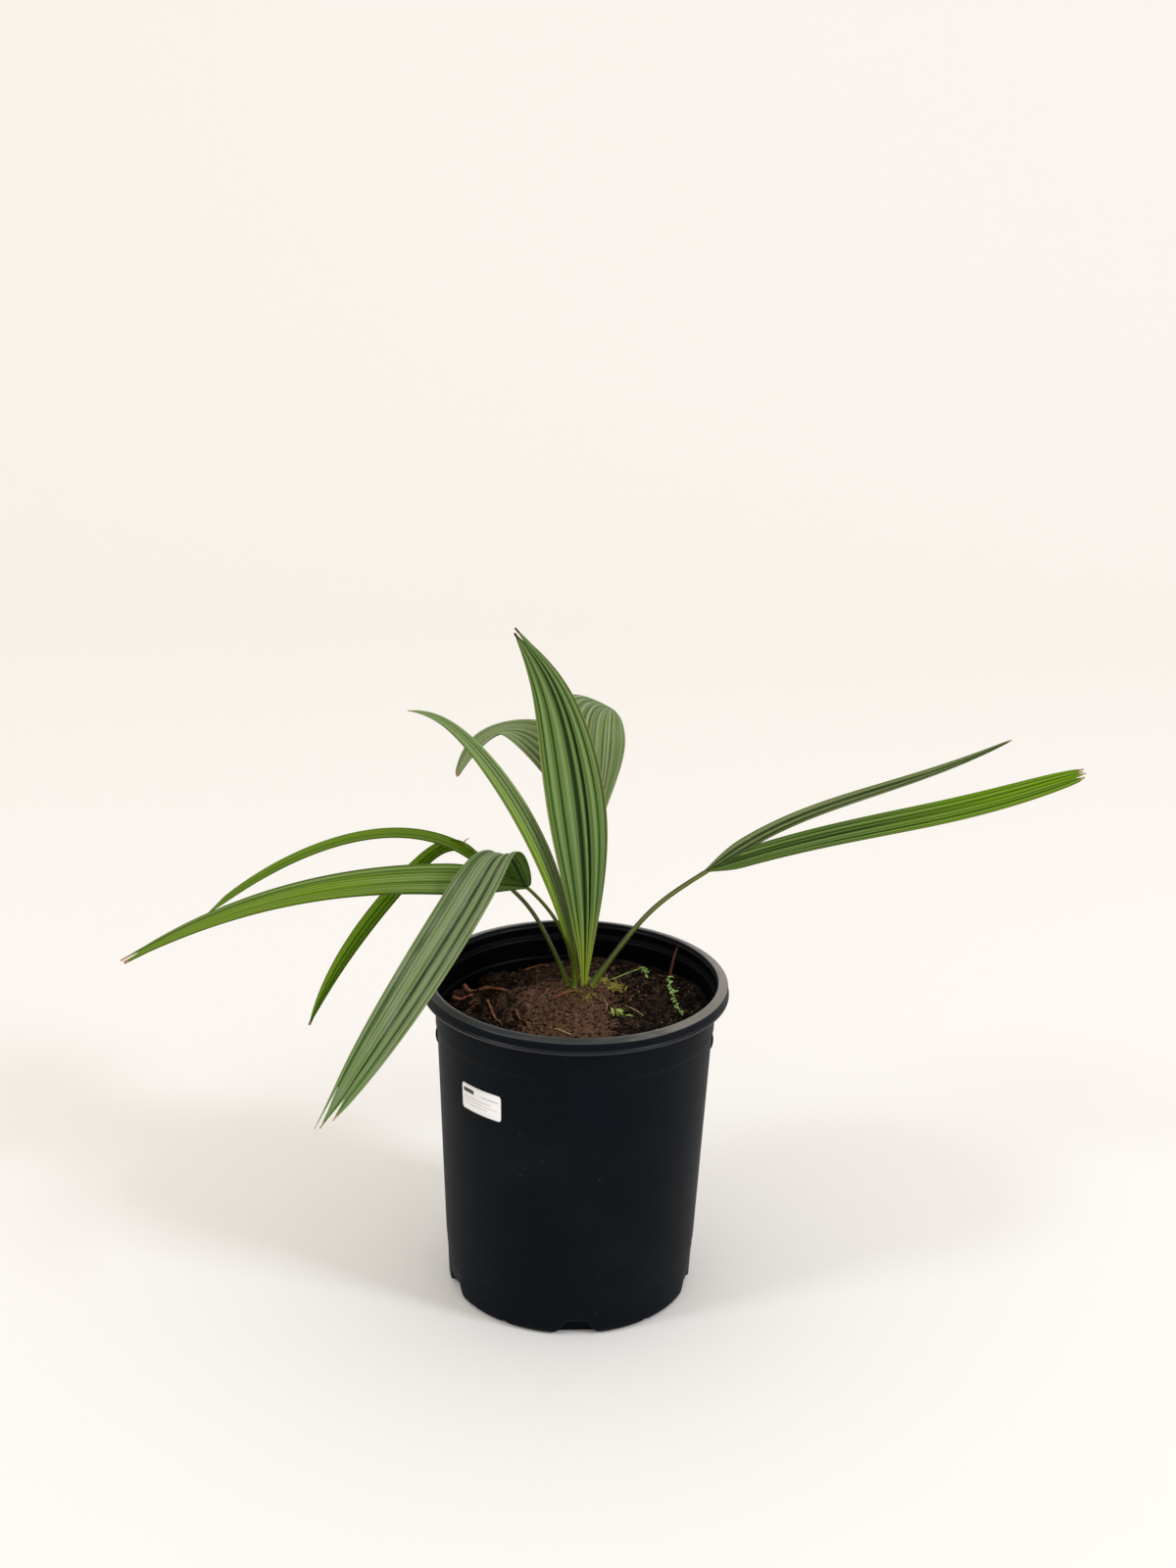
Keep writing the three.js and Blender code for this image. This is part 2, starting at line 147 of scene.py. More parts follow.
class Signal:
    """The output of a shader node, which takes part in Python arithmetic."""

    def __init__(self, graph: "Graph", socket: bpy.types.NodeSocket) -> None:
        """Wraps a socket of a graph."""
        self.graph = graph
        self.socket = socket

    def _math(self, operation: str, *values: "Signal | float") -> "Signal":
        """Adds a Math node that works on the given values."""
        return self.graph.node("ShaderNodeMath", {"operation": operation}, dict(enumerate(values)))

    def __add__(self, other: "Signal | float") -> "Signal":
        """self + other."""
        return self._math("ADD", self, other)

    __radd__ = __add__

    def __sub__(self, other: "Signal | float") -> "Signal":
        """self - other."""
        return self._math("SUBTRACT", self, other)

    def __rsub__(self, other: float) -> "Signal":
        """other - self."""
        return self._math("SUBTRACT", other, self)

    def __mul__(self, other: "Signal | float") -> "Signal":
        """self * other."""
        return self._math("MULTIPLY", self, other)

    __rmul__ = __mul__

    def __abs__(self) -> "Signal":
        """The value without its sign."""
        return self._math("ABSOLUTE", self)

    def wave(self) -> "Signal":
        """The sine of the value."""
        return self._math("SINE", self)

    def rise(self, low: float, high: float) -> "Signal":
        """Rises softly from 0 at low to 1 at high.

        Args:
            low: where the rise starts.
            high: where it ends; below low it falls instead.

        Returns:
            The share of the rise.
        """
        settings = {"interpolation_type": "SMOOTHSTEP"}
        values = {"Value": self, "From Min": low, "From Max": high}
        return self.graph.node("ShaderNodeMapRange", settings, values)


class Graph:
    """A material's node tree, filled by calls that return signals."""

    def __init__(self, name: str) -> None:
        """Starts a material without nodes.

        Args:
            name: the material's name.
        """
        self.material = bpy.data.materials.new(name)
        self.material.use_nodes = True
        self.tree = self.material.node_tree
        self.tree.nodes.clear()

    def node(self, kind: str, settings: dict[str, Any] | None = None,
             inputs: dict[str | int, Any] | None = None, output: str | int = 0) -> Signal:
        """Adds one node.

        Args:
            kind: the node's type.
            settings: its own options, which are set first.
            inputs: a value or a signal for each socket, by name or place.
            output: the socket that is returned, by name or place.

        Returns:
            The chosen output.
        """
        made = self.tree.nodes.new(kind)
        for name, value in (settings or {}).items():
            setattr(made, name, value)
        for key, value in (inputs or {}).items():
            socket = made.inputs[key]
            if isinstance(value, Signal):
                self.tree.links.new(value.socket, socket)
            elif isinstance(value, tuple) and len(value) == 3 and len(socket.default_value) == 4:
                socket.default_value = (*value, 1.0)
            else:
                socket.default_value = value
        return Signal(self, made.outputs[output])

    def attribute(self, name: str) -> Signal:
        """Reads a number that the mesh carries at its points."""
        return self.node("ShaderNodeAttribute", {"attribute_name": name}, output="Fac")

    def place(self) -> Signal:
        """The point in the row frame, in metres."""
        return self.node("ShaderNodeTexCoord", output="Object")

    def stretch(self, vector: Signal, scale: tuple[float, float, float]) -> Signal:
        """Scales a vector along each axis."""
        return self.node("ShaderNodeVectorMath", {"operation": "MULTIPLY"}, {0: vector, 1: scale})

    def axis(self, vector: Signal, name: str) -> Signal:
        """One number of a vector, by its letter."""
        return self.node("ShaderNodeSeparateXYZ", inputs={0: vector}, output=name)

    def vector(self, x: Signal | float, y: Signal | float, z: Signal | float) -> Signal:
        """Makes a vector of three numbers."""
        return self.node("ShaderNodeCombineXYZ", inputs={0: x, 1: y, 2: z})

    def noise(self, vector: Signal, scale: float, detail: float = 3.0, roughness: float = 0.5) -> Signal:
        """Soft noise between 0 and 1 at a scale."""
        values = {"Vector": vector, "Scale": scale, "Detail": detail, "Roughness": roughness}
        return self.node("ShaderNodeTexNoise", inputs=values)

    def mix(self, share: Signal | float, start: Signal | Colour, end: Signal | Colour) -> Signal:
        """Mixes two colours.

        Args:
            share: how much of the end colour is taken.
            start: the first colour.
            end: the second colour.

        Returns:
            The mixed colour.
        """
        return self.node("ShaderNodeMix", {"data_type": "RGBA"}, {0: share, 6: start, 7: end}, 2)

    def bump(self, height: Signal, strength: float, distance: float, under: Signal | None = None) -> Signal:
        """Turns a height into a normal, over another normal where one is given.

        Args:
            height: the relief.
            strength: how strong it is.
            distance: how deep it is, in metres.
            under: the normal that it lies on.

        Returns:
            The normal.
        """
        inputs = {"Height": height, "Strength": strength, "Distance": distance}
        if under is not None:
            inputs["Normal"] = under
        return self.node("ShaderNodeBump", inputs=inputs)

    def finish(self, inputs: dict[str, Any]) -> bpy.types.Material:
        """Closes the graph with its shader.

        Args:
            inputs: values and signals of the shader's sockets.

        Returns:
            The material.
        """
        surface = self.node("ShaderNodeBsdfPrincipled", inputs=inputs)
        output = self.tree.nodes.new("ShaderNodeOutputMaterial")
        self.tree.links.new(surface.socket, output.inputs["Surface"])
        return self.material


@dataclass(frozen=True)
class PotFinish:
    """Black moulded plastic: a dull wall, faint rub marks, a little dust, painted shade inside, a painted
    sheen and highlight on the rim's top and painted highlight lines on its edges, which also show wear.
    """

    black: Colour = (0.0024, 0.0042, 0.0068)
    # Rub marks and edge wear, and the painted highlight lines on the edges.
    wear_and_highlight: Colour = shade(70, 71, 72)
    # A painted sheen on the rim's top.
    rim: Colour = shade(50, 54, 57)
    # A painted highlight on the right side of the rim's top.
    rim_highlight: Colour = shade(126, 121, 112)
    # Painted shade on the pot's inside.
    deep: Colour = (0.0006, 0.0011, 0.0016)
    dust: Colour = shade(98, 92, 84)

    def material(self) -> bpy.types.Material:
        """Builds the material.

        Returns:
            The material.
        """
        graph = Graph("pot_plastic")
        place = graph.place()
        cloud = graph.noise(place, 14.0, 4.0)
        grain = graph.noise(place, 1300.0, 2.0)
        rubs = graph.noise(graph.stretch(place, (60.0, 60.0, 420.0)), 1.0, 5.0, 0.7)
        edge, top, inner = (graph.attribute(name) for name in ("edge", "top", "inner"))
        x, y = graph.axis(place, "X"), graph.axis(place, "Y")
        # Where the painted highlight falls on the rim's right side, and where a painted reflection of the
        # left light falls on the left front edges.
        highlight_side = (x * 9.5 - y * 3.0 + (rubs - 0.5) * 0.8).rise(0.55, 1.05)
        left_reflection = (x * -5.6 - y * 7.2).rise(0.94, 0.985)
        colour = graph.mix(cloud.rise(0.45, 0.85) * 0.05, self.black, self.wear_and_highlight)
        colour = graph.mix(rubs.rise(0.68, 0.8) * 0.12, colour, self.wear_and_highlight)
        # Painted shade inside, a painted sheen on the rim's top and a painted highlight on its right side.
        colour = graph.mix(inner, colour, self.deep)
        colour = graph.mix(top * (0.35 + grain * 0.5), colour, self.rim)
        colour = graph.mix(top * highlight_side * (0.5 + grain * 0.5), colour, self.rim_highlight)
        # Painted highlight lines on the edges, patchy like wear, stronger at the left front as a painted
        # reflection.
        colour = graph.mix(edge * (0.1 + rubs * 0.7) + edge * left_reflection * 0.5, colour, self.wear_and_highlight)
        specks = graph.noise(place, 260.0, 2.0, 0.4)
        colour = graph.mix(specks.rise(0.73, 0.78) * cloud.rise(0.5, 0.62) * 0.4, colour, self.dust)
        normal = graph.bump(grain, 0.14, 0.0003, graph.bump(cloud, 0.1, 0.003))
        return graph.finish({
            "Base Color": colour, "Roughness": 0.44 + cloud * 0.14 + top * 0.06, "Specular IOR Level": 0.05,
            "Coat Weight": edge * 0.7 + top * 0.8, "Coat Roughness": 0.3, "Normal": normal,
        })


@dataclass(frozen=True)
class LeafTone:
    """How the colour of one blade runs from foot to tip and from edge to edge, painted light and shade
    included.
    """

    green: Colour = shade(92, 122, 56)
    # The ridge colour is a painted highlight on the ribs, the valley colour painted shade in the valleys.
    ridge: Colour = shade(140, 162, 102)
    valley: Colour = shade(26, 54, 12)
    foot: Colour = shade(178, 194, 66)
    foot_end: float = 0.0
    # Painted light on one stretch and one side of the blade; the waxy tone uses it only for a greener end.
    sunny: Colour = shade(112, 156, 10)
    sunny_from: float = 2.0
    sunny_to: float = 3.0
    side_from: float = -3.0
    side_to: float = -2.0
    bloom: Colour = shade(138, 146, 120)
    bloomed: float = 0.2
    rim: Colour = shade(96, 92, 40)
    rimmed: float = 0.6
    veined: float = 1.0
    gloss: float = 0.18
    # The underside's colour, painted as seen in shade, with deeper painted shade in its valleys.
    below: Colour = shade(84, 126, 26)
    underside_valley_shade: Colour = shade(20, 46, 4)
    shown: float = 0.0
    dry: Colour = shade(160, 124, 98)


@dataclass(frozen=True)
class LeafFinish:
    """A waxy leaf skin with fine lengthwise veins, painted highlights on its ribs, painted shade in its
    valleys, painted light on one stretch and a dry brown tip.
    """

    name: str
    tone: LeafTone
    width: float
    roughness: float = 0.48
    line_gap: float = 3.3

    def material(self) -> bpy.types.Material:
        """Builds the material.

        Returns:
            The material.
        """
        graph = Graph(self.name)
        tone = self.tone
        along, across = graph.attribute("along"), graph.attribute("across")
        ridge, pleat = graph.attribute("ridge"), graph.attribute("pleat")
        dry, length = graph.attribute("dry"), graph.attribute("distance")
        side = across * (self.width / 2)
        drift = graph.noise(graph.vector(side * 0.3, length * 0.001, pleat), 1.0, 2.0)
        lines = (side * (math.tau / self.line_gap) + drift * 7.0).wave()
        veins = graph.noise(graph.vector(side * 1.1, length * 0.006, pleat), 1.0, 2.0, 0.6)
        bands = graph.noise(graph.vector(side * 0.3, length * 0.008, 4.0), 1.0, 2.0)
        cloud = graph.noise(graph.vector(side * 0.16, length * 0.03, 9.0), 1.0, 4.0)
        # Painted shade in the valleys and painted highlights on the ribs, by the height of the fold.
        colour = graph.mix(ridge.rise(0.05, 0.5), tone.valley, tone.green)
        colour = graph.mix(ridge.rise(0.6, 1.0) * (0.3 + bands * 0.8), colour, tone.ridge)
        # Painted light on one stretch and side of the blade, with painted shade kept in its valleys; for the
        # waxy tone only a greener end.
        sun = along.rise(tone.sunny_from, tone.sunny_to) * across.rise(tone.side_from, tone.side_to)
        sunny = graph.mix(ridge.rise(0.45, 0.05) * 0.75, tone.sunny, tone.valley)
        colour = graph.mix(sun * (0.75 + veins * 0.3), colour, sunny)
        colour = graph.mix(cloud.rise(0.35, 0.75) * tone.bloomed, colour, tone.bloom)
        if tone.foot_end > 0:
            colour = graph.mix(along.rise(tone.foot_end, 0.0) * ridge.rise(0.2, 0.7), colour, tone.foot)
        # The underside, painted as seen in shade, with deeper painted shade in its valleys.
        if tone.shown > 0:
            below = graph.mix(ridge.rise(0.2, 0.8), tone.underside_valley_shade, tone.below)
            colour = graph.mix(graph.attribute("under") * tone.shown, colour, below)
        # Fine vein lines: the leaf's own veins, painted as lit and shaded fine ribs in the rib highlight and
        # valley shade colours.
        pale = lines.rise(0.3, 1.0) * veins.rise(0.32, 0.6) * ridge.rise(0.1, 0.45)
        colour = graph.mix(pale * (0.75 * tone.veined), colour, tone.ridge)
        dark = lines.rise(-0.4, -1.0) * veins.rise(0.66, 0.4) * (0.8 * tone.veined)
        colour = graph.mix(dark, colour, tone.valley)
        colour = graph.mix(abs(across).rise(0.93, 0.985) * tone.rimmed, colour, tone.rim)
        colour = graph.mix((dry + (veins - 0.5) * dry * 1.4).rise(0.25, 0.7), colour, tone.dry)
        rough = self.roughness + cloud * 0.16 + dry * 0.25
        normal = graph.bump(lines, 0.3, 0.0003, graph.bump(veins, 0.35, 0.0006))
        return graph.finish({
            "Base Color": colour, "Roughness": rough, "Normal": normal, "Specular IOR Level": tone.gloss,
        })


@dataclass(frozen=True)
class StalkFinish:
    """A smooth green stalk with painted highlights on its edges, painted shade in its channel and a browner
    foot.
    """

    green: Colour = shade(78, 91, 20)
    # Painted highlight on the edges, also the colour of pale streaks.
    light: Colour = shade(127, 140, 50)
    # Painted shade in the channel, also the colour of dark streaks.
    dark: Colour = shade(30, 34, 6)
    foot: Colour = shade(104, 122, 38)

    def material(self) -> bpy.types.Material:
        """Builds the material.

        Returns:
            The material.
        """
        graph = Graph("stalk_skin")
        along, turn = graph.attribute("along"), graph.attribute("ridge")
        length = graph.attribute("distance")
        lines = graph.vector(turn * 9.0, length * 0.03, graph.attribute("across") * 4.0)
        streaks = graph.noise(lines, 1.0, 4.0)
        # Painted shade in the channel and painted highlights on the edges.
        colour = graph.mix(turn.rise(0.05, 0.6), self.dark, self.green)
        colour = graph.mix(turn.rise(0.7, 1.0) * 0.75, colour, self.light)
        colour = graph.mix(streaks.rise(0.55, 0.75) * 0.4, colour, self.light)
        colour = graph.mix(streaks.rise(0.45, 0.2) * 0.5, colour, self.dark)
        colour = graph.mix(along.rise(0.25, 0.0) * 0.7, colour, self.foot)
        return graph.finish({
            "Base Color": colour, "Roughness": 0.36 + streaks * 0.16, "Specular IOR Level": 0.35,
            "Normal": graph.bump(streaks, 0.3, 0.0006),
        })


@dataclass(frozen=True)
class SoilFinish:
    """Moist dark potting mix: painted shade makes it black in its hollows, and it is browner on its lumps,
    most in the painted light on its middle.
    """

    dark: Colour = shade(12, 7, 4)
    brown: Colour = shade(106, 77, 59)
    pale: Colour = shade(156, 122, 94)

    def material(self) -> bpy.types.Material:
        """Builds the material.

        Returns:
            The material.
        """
        graph = Graph("soil_mix")
        place = graph.place()
        high = graph.attribute("ridge")
        crumbs = graph.noise(place, 520.0, 5.0, 0.7)
        lumps = graph.noise(place, 90.0, 4.0, 0.6)
        x, y = graph.axis(place, "X"), graph.axis(place, "Y")
        # Painted light on the middle of the soil; it falls off towards the left, the right and the back, at
        # the right as painted shadow of the pot's wall.
        light = x.rise(-0.06, -0.03) * x.rise(0.045, 0.01) * y.rise(0.055, 0.02) * 0.8
        colour = graph.mix(high.rise(0.3, 0.85) * (light + (lumps - 0.3)), self.dark, self.brown)
        colour = graph.mix(crumbs.rise(0.55, 0.72) * (light * 0.5 + 0.12), colour, self.brown)
        # Pale specks on the lumps: partly grit, partly painted highlights.
        colour = graph.mix(crumbs.rise(0.66, 0.8) * high.rise(0.35, 0.7) * 0.5, colour, self.pale)
        normal = graph.bump(crumbs, 0.9, 0.0016, graph.bump(lumps, 0.6, 0.003))
        return graph.finish({
            "Base Color": colour, "Roughness": 0.9, "Normal": normal, "Specular IOR Level": 0.1,
        })


@dataclass(frozen=True)
class PlainFinish:
    """One small thing's colour with a soft mottle of a second one."""

    name: str
    colour: Colour
    second: Colour
    roughness: float = 0.7
    scale: float = 300.0
    relief: float = 0.3
    gloss: float = 0.35

    def material(self) -> bpy.types.Material:
        """Builds the material.

        Returns:
            The material.
        """
        graph = Graph(self.name)
        mottle = graph.noise(graph.place(), self.scale, 4.0, 0.6)
        return graph.finish({
            "Base Color": graph.mix(mottle.rise(0.3, 0.7), self.colour, self.second),
            "Roughness": self.roughness, "Normal": graph.bump(mottle, self.relief, 0.0006),
            "Specular IOR Level": self.gloss,
        })


@dataclass
class Mesh:
    """A mesh in the making: points in millimetres, faces, values on the points and a flat map."""

    points: Array
    faces: list[Array]
    values: dict[str, Array] = field(default_factory=dict)
    flat: Array | None = None

    @staticmethod
    def joined(parts: Sequence["Mesh"]) -> "Mesh":
        """Joins meshes into one.

        Args:
            parts: the meshes.

        Returns:
            The joined mesh, with the values that all of them carry.
        """
        starts = np.cumsum([0, *[len(mesh.points) for mesh in parts[:-1]]])
        names = sorted(set.intersection(*[set(mesh.values) for mesh in parts]))
        return Mesh(
            np.concatenate([mesh.points for mesh in parts]),
            [face + start for mesh, start in zip(parts, starts) for face in mesh.faces],
            {name: np.concatenate([mesh.values[name] for mesh in parts]) for name in names},
        )


def grid(rows: int, columns: int, closed: bool = False, start: int = 0) -> Array:
    """Quads over a grid of points that are stored row by row.

    Args:
        rows: number of rows of points.
        columns: number of points in a row.
        closed: whether the last column joins the first.
        start: number of the grid's first point.

    Returns:
        The corners of each quad.
    """
    across = np.arange(columns if closed else columns - 1)
    row = np.arange(rows - 1)[:, None] * columns
    near, far = row + across, row + (across + 1) % columns
    return start + np.stack([near, far, far + columns, near + columns], -1).reshape(-1, 4)


def tube(rings: Array, values: dict[str, Array] | None = None) -> Mesh:
    """A closed tube through rings of points.

    Args:
        rings: points by ring, place in the ring and axis.
        values: numbers at each point of the rings.

    Returns:
        The mesh, with a fan of triangles at each end.
    """
    count, sides = rings.shape[:2]
    ends = [count * sides, count * sides + 1]
    points = np.concatenate([rings.reshape(-1, 3), rings[[0, -1]].mean(1)])
    around = np.arange(sides)
    following = (around + 1) % sides
    last = (count - 1) * sides
    first_fan = np.stack([following, around, np.full(sides, ends[0])], -1)
    last_fan = np.stack([last + around, last + following, np.full(sides, ends[1])], -1)
    carried = {}
    for name, value in (values or {}).items():
        carried[name] = np.concatenate([value.reshape(-1), value[[0, -1]].mean(1)])
    return Mesh(points, [grid(count, sides, True), first_fan, last_fan], carried)


def normals_of(points: Array, quads: Array) -> Array:
    """The mean normal at each point of a sheet of quads.

    Args:
        points: the sheet's points.
        quads: its faces.

    Returns:
        A unit normal for each point.
    """
    one, two, three, four = (points[quads[:, i]] for i in range(4))
    normal = np.cross(three - one, four - two)
    total = np.zeros_like(points)
    for i in range(4):
        np.add.at(total, quads[:, i], normal)
    return total / np.maximum(np.linalg.norm(total, axis=1, keepdims=True), 1e-12)


def thicken(sheet: Mesh, thickness: Array | float) -> Mesh:
    """Gives a sheet of quads an upper face, a lower face and a rim.

    Args:
        sheet: the sheet, with all its quads in one array.
        thickness: the thickness at each point.

    Returns:
        The closed mesh, with a flat map whose halves hold the upper and the lower face.
    """
    quads = sheet.faces[0]
    count = len(sheet.points)
    lift = normals_of(sheet.points, quads) * np.broadcast_to(np.asarray(thickness) / 2, count)[:, None]
    edges = np.concatenate([quads[:, [i, (i + 1) % 4]] for i in range(4)])
    keys = edges[:, 0] * count + edges[:, 1]
    open_edges = edges[~np.isin(keys, edges[:, 1] * count + edges[:, 0])]
    start, end = open_edges.T
    rim = np.stack([end, start, start + count, end + count], -1)
    values = {name: np.concatenate([value, value]) for name, value in sheet.values.items()}
    values["under"] = np.repeat([0.0, 1.0], count)
    flat = None
    if sheet.flat is not None:
        half = np.array([1.0, 0.48])
        flat = np.concatenate([sheet.flat * half, sheet.flat * half + [0.0, 0.52]])
    points = np.concatenate([sheet.points + lift, sheet.points - lift])
    return Mesh(points, [quads, quads[:, ::-1] + count, rim], values, flat)


class Workshop:
    """Turns meshes into pieces that ride on the plant's body."""

    def __init__(self) -> None:
        """Starts with no pieces."""
        self.made: list[bpy.types.Object] = []

    def piece(self, name: str, mesh: Mesh, material: bpy.types.Material,
              replaces: Sequence[str] = (), flat_shaded: bool = False) -> bpy.types.Object:
        """Makes one piece.

        Args:
            name: the piece's name.
            mesh: its shape in millimetres.
            material: its finish.
            replaces: the nodes that it stands for.
            flat_shaded: whether its faces show.

        Returns:
            The new object.
        """
        data = bpy.data.meshes.new(name)
        loops = np.concatenate([face.reshape(-1) for face in mesh.faces]).astype(np.int32)
        sizes = np.concatenate([np.full(len(face), face.shape[1]) for face in mesh.faces])
        data.vertices.add(len(mesh.points))
        data.vertices.foreach_set("co", (mesh.points * MM).astype(np.float32).ravel())
        data.loops.add(len(loops))
        data.loops.foreach_set("vertex_index", loops)
        data.polygons.add(len(sizes))
        data.polygons.foreach_set("loop_start", np.concatenate([[0], np.cumsum(sizes)[:-1]]).astype(np.int32))
        data.polygons.foreach_set("use_smooth", np.full(len(sizes), not flat_shaded))
        for key, value in mesh.values.items():
            data.attributes.new(key, "FLOAT", "POINT").data.foreach_set("value", value.astype(np.float32))
        if mesh.flat is not None:
            flat = mesh.flat[loops].astype(np.float32).ravel()
            data.uv_layers.new(name="OFBake").data.foreach_set("uv", flat)
        data.update(calc_edges=True)
        data.validate()
        data.materials.append(material)
        made = placed(name, data)
        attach(made, ROOT)
        if replaces:
            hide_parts(*replaces)
        self.made.append(made)
        LOG.info("%s: %d faces", name, len(data.polygons))
        return made

    def heap(self, name: str, parts: Sequence[Mesh], material: bpy.types.Material) -> None:
        """Makes one piece of many small meshes."""
        self.piece(name, Mesh.joined(parts), material)


@dataclass(frozen=True)
class Limb:
    """A line that leaves its foot at a heading and a rise and bends over on the way, as its solid does."""

    heading: float
    rise: float
    length: float
    turn: float = 0.0
    fold: float = 0.0
    at: float = 0.5
    over: float = 0.2
    sag: float = 0.0
    sway: float = 0.0
    roll: float = 0.0
    twist: float = 0.0

    def bend(self, share: Array) -> Array:
        """How much of its fold the limb has made at each share of its length.

        Args:
            share: shares of the length.

        Returns:
            The part of the fold that is made, from 0 to 1.
        """
        def ramp(value: Array | float) -> Array | float:
            """A soft step from 0 to 1 about a value of 0."""
            return 1 / (1 + np.exp(-value))
        start, end = ramp(-self.at / self.over), ramp((1 - self.at) / self.over)
        return (ramp((share - self.at) / self.over) - start) / (end - start)

    def angles(self, share: Array) -> tuple[Array, Array]:
        """The heading and the rise, in radians, at each share of the length.

        Args:
            share: shares of the length.

        Returns:
            The headings and the rises.
        """
        heading = self.heading + self.turn * self.bend(share) + self.sway * share
        rise = self.rise + self.fold * self.bend(share) + self.sag * share
        return np.radians(heading), np.radians(rise)

    def axes(self, share: Array) -> tuple[Array, Array, Array]:
        """The tangent, the side and the face at each share of the length.

        Args:
            share: shares of the length.

        Returns:
            Three unit vectors for each share.
        """
        heading, rise = self.angles(share)
        tangent = np.stack([np.cos(rise) * np.cos(heading), np.cos(rise) * np.sin(heading), np.sin(rise)], -1)
        up = np.stack([-np.sin(rise) * np.cos(heading), -np.sin(rise) * np.sin(heading), np.cos(rise)], -1)
        across = np.cross(tangent, up)
        roll = np.radians(self.roll + self.twist * share)[..., None]
        return tangent, across * np.cos(roll) + up * np.sin(roll), up * np.cos(roll) - across * np.sin(roll)

    def line(self, foot: Sequence[float], share: Array) -> Array:
        """The points at shares of the length, by adding up short steps along the tangent.

        Args:
            foot: the limb's first point.
            share: shares of the length.

        Returns:
            A point for each share.
        """
        fine = np.linspace(0, max(1.0, share.max()), 1201)
        tangent = self.axes((fine[1:] + fine[:-1]) / 2)[0]
        steps = np.cumsum(tangent * np.diff(fine)[:, None] * self.length, axis=0)
        path = np.concatenate([[[0.0, 0.0, 0.0]], steps]) + np.asarray(foot, float)
        return np.stack([np.interp(share, fine, path[:, i]) for i in range(3)], -1)


@dataclass(frozen=True)
class Stalk:
    """A slender leaf stalk, round below and channelled above, that widens to a sheath at its foot."""

    name: str
    foot: tuple[float, float, float]
    limb: Limb
    diameter: float = 3.8
    sheath: float = 0.55
    channel: float = 0.34
    flatness: float = 0.8
    rings: int = 72
    sides: int = 28
    sheath_end: float = 0.09
    slimming: float = 0.12
    groove_width: float = 0.55
    # Where the painted highlight runs along each edge.
    edge_place: float = 0.95
    edge_width: float = 0.3

    def end(self) -> Array:
        """The point where the blades start."""
        return self.limb.line(self.foot, np.array([1.0]))[0]

    def build(self, shop: Workshop, material: bpy.types.Material) -> None:
        """Makes the stalk's piece.

        Args:
            shop: where the piece is made.
            material: the stalk's finish.
        """
        share = np.linspace(-0.02, 1.0, self.rings)
        _, side, face = self.limb.axes(share)
        centre = self.limb.line(self.foot, np.clip(share, 0, 1))
        angle = circle(self.sides)
        gap = np.abs((angle - np.pi / 2 + np.pi) % (2 * np.pi) - np.pi)
        groove = np.exp(-((gap / self.groove_width) ** 2))
        wide = 1 + self.sheath * np.exp(-np.clip(share, 0, 1) / self.sheath_end) - self.slimming * share
        radius = self.diameter / 2 * wide[:, None] * (1 - self.channel * groove)
        out = side[:, None] * (np.cos(angle) * radius)[..., None]
        rings = centre[:, None] + out + face[:, None] * (np.sin(angle) * radius * self.flatness)[..., None]
        # Lighter edges for a painted highlight and a darker channel for painted shade.
        edge = np.exp(-(((gap - self.edge_place) / self.edge_width) ** 2))
        tone = np.broadcast_to(0.5 + 0.5 * edge - 0.5 * groove, radius.shape)
        along = np.broadcast_to(np.clip(share, 0, 1)[:, None], radius.shape)
        values = {
            "along": along, "ridge": tone, "distance": along * self.limb.length,
            "across": np.broadcast_to(np.sin(angle), radius.shape),
        }
        shop.piece(f"{self.name}_channelled", tube(rings, values), material, [self.name])


@dataclass(frozen=True)
class Point:
    """One split end of a blade: a share of its width, from left to right, that ends in a point of its own."""

    left: float
    right: float
    end: float = 1.0
    blunt: float = 0.12
    dried: float = 0.0


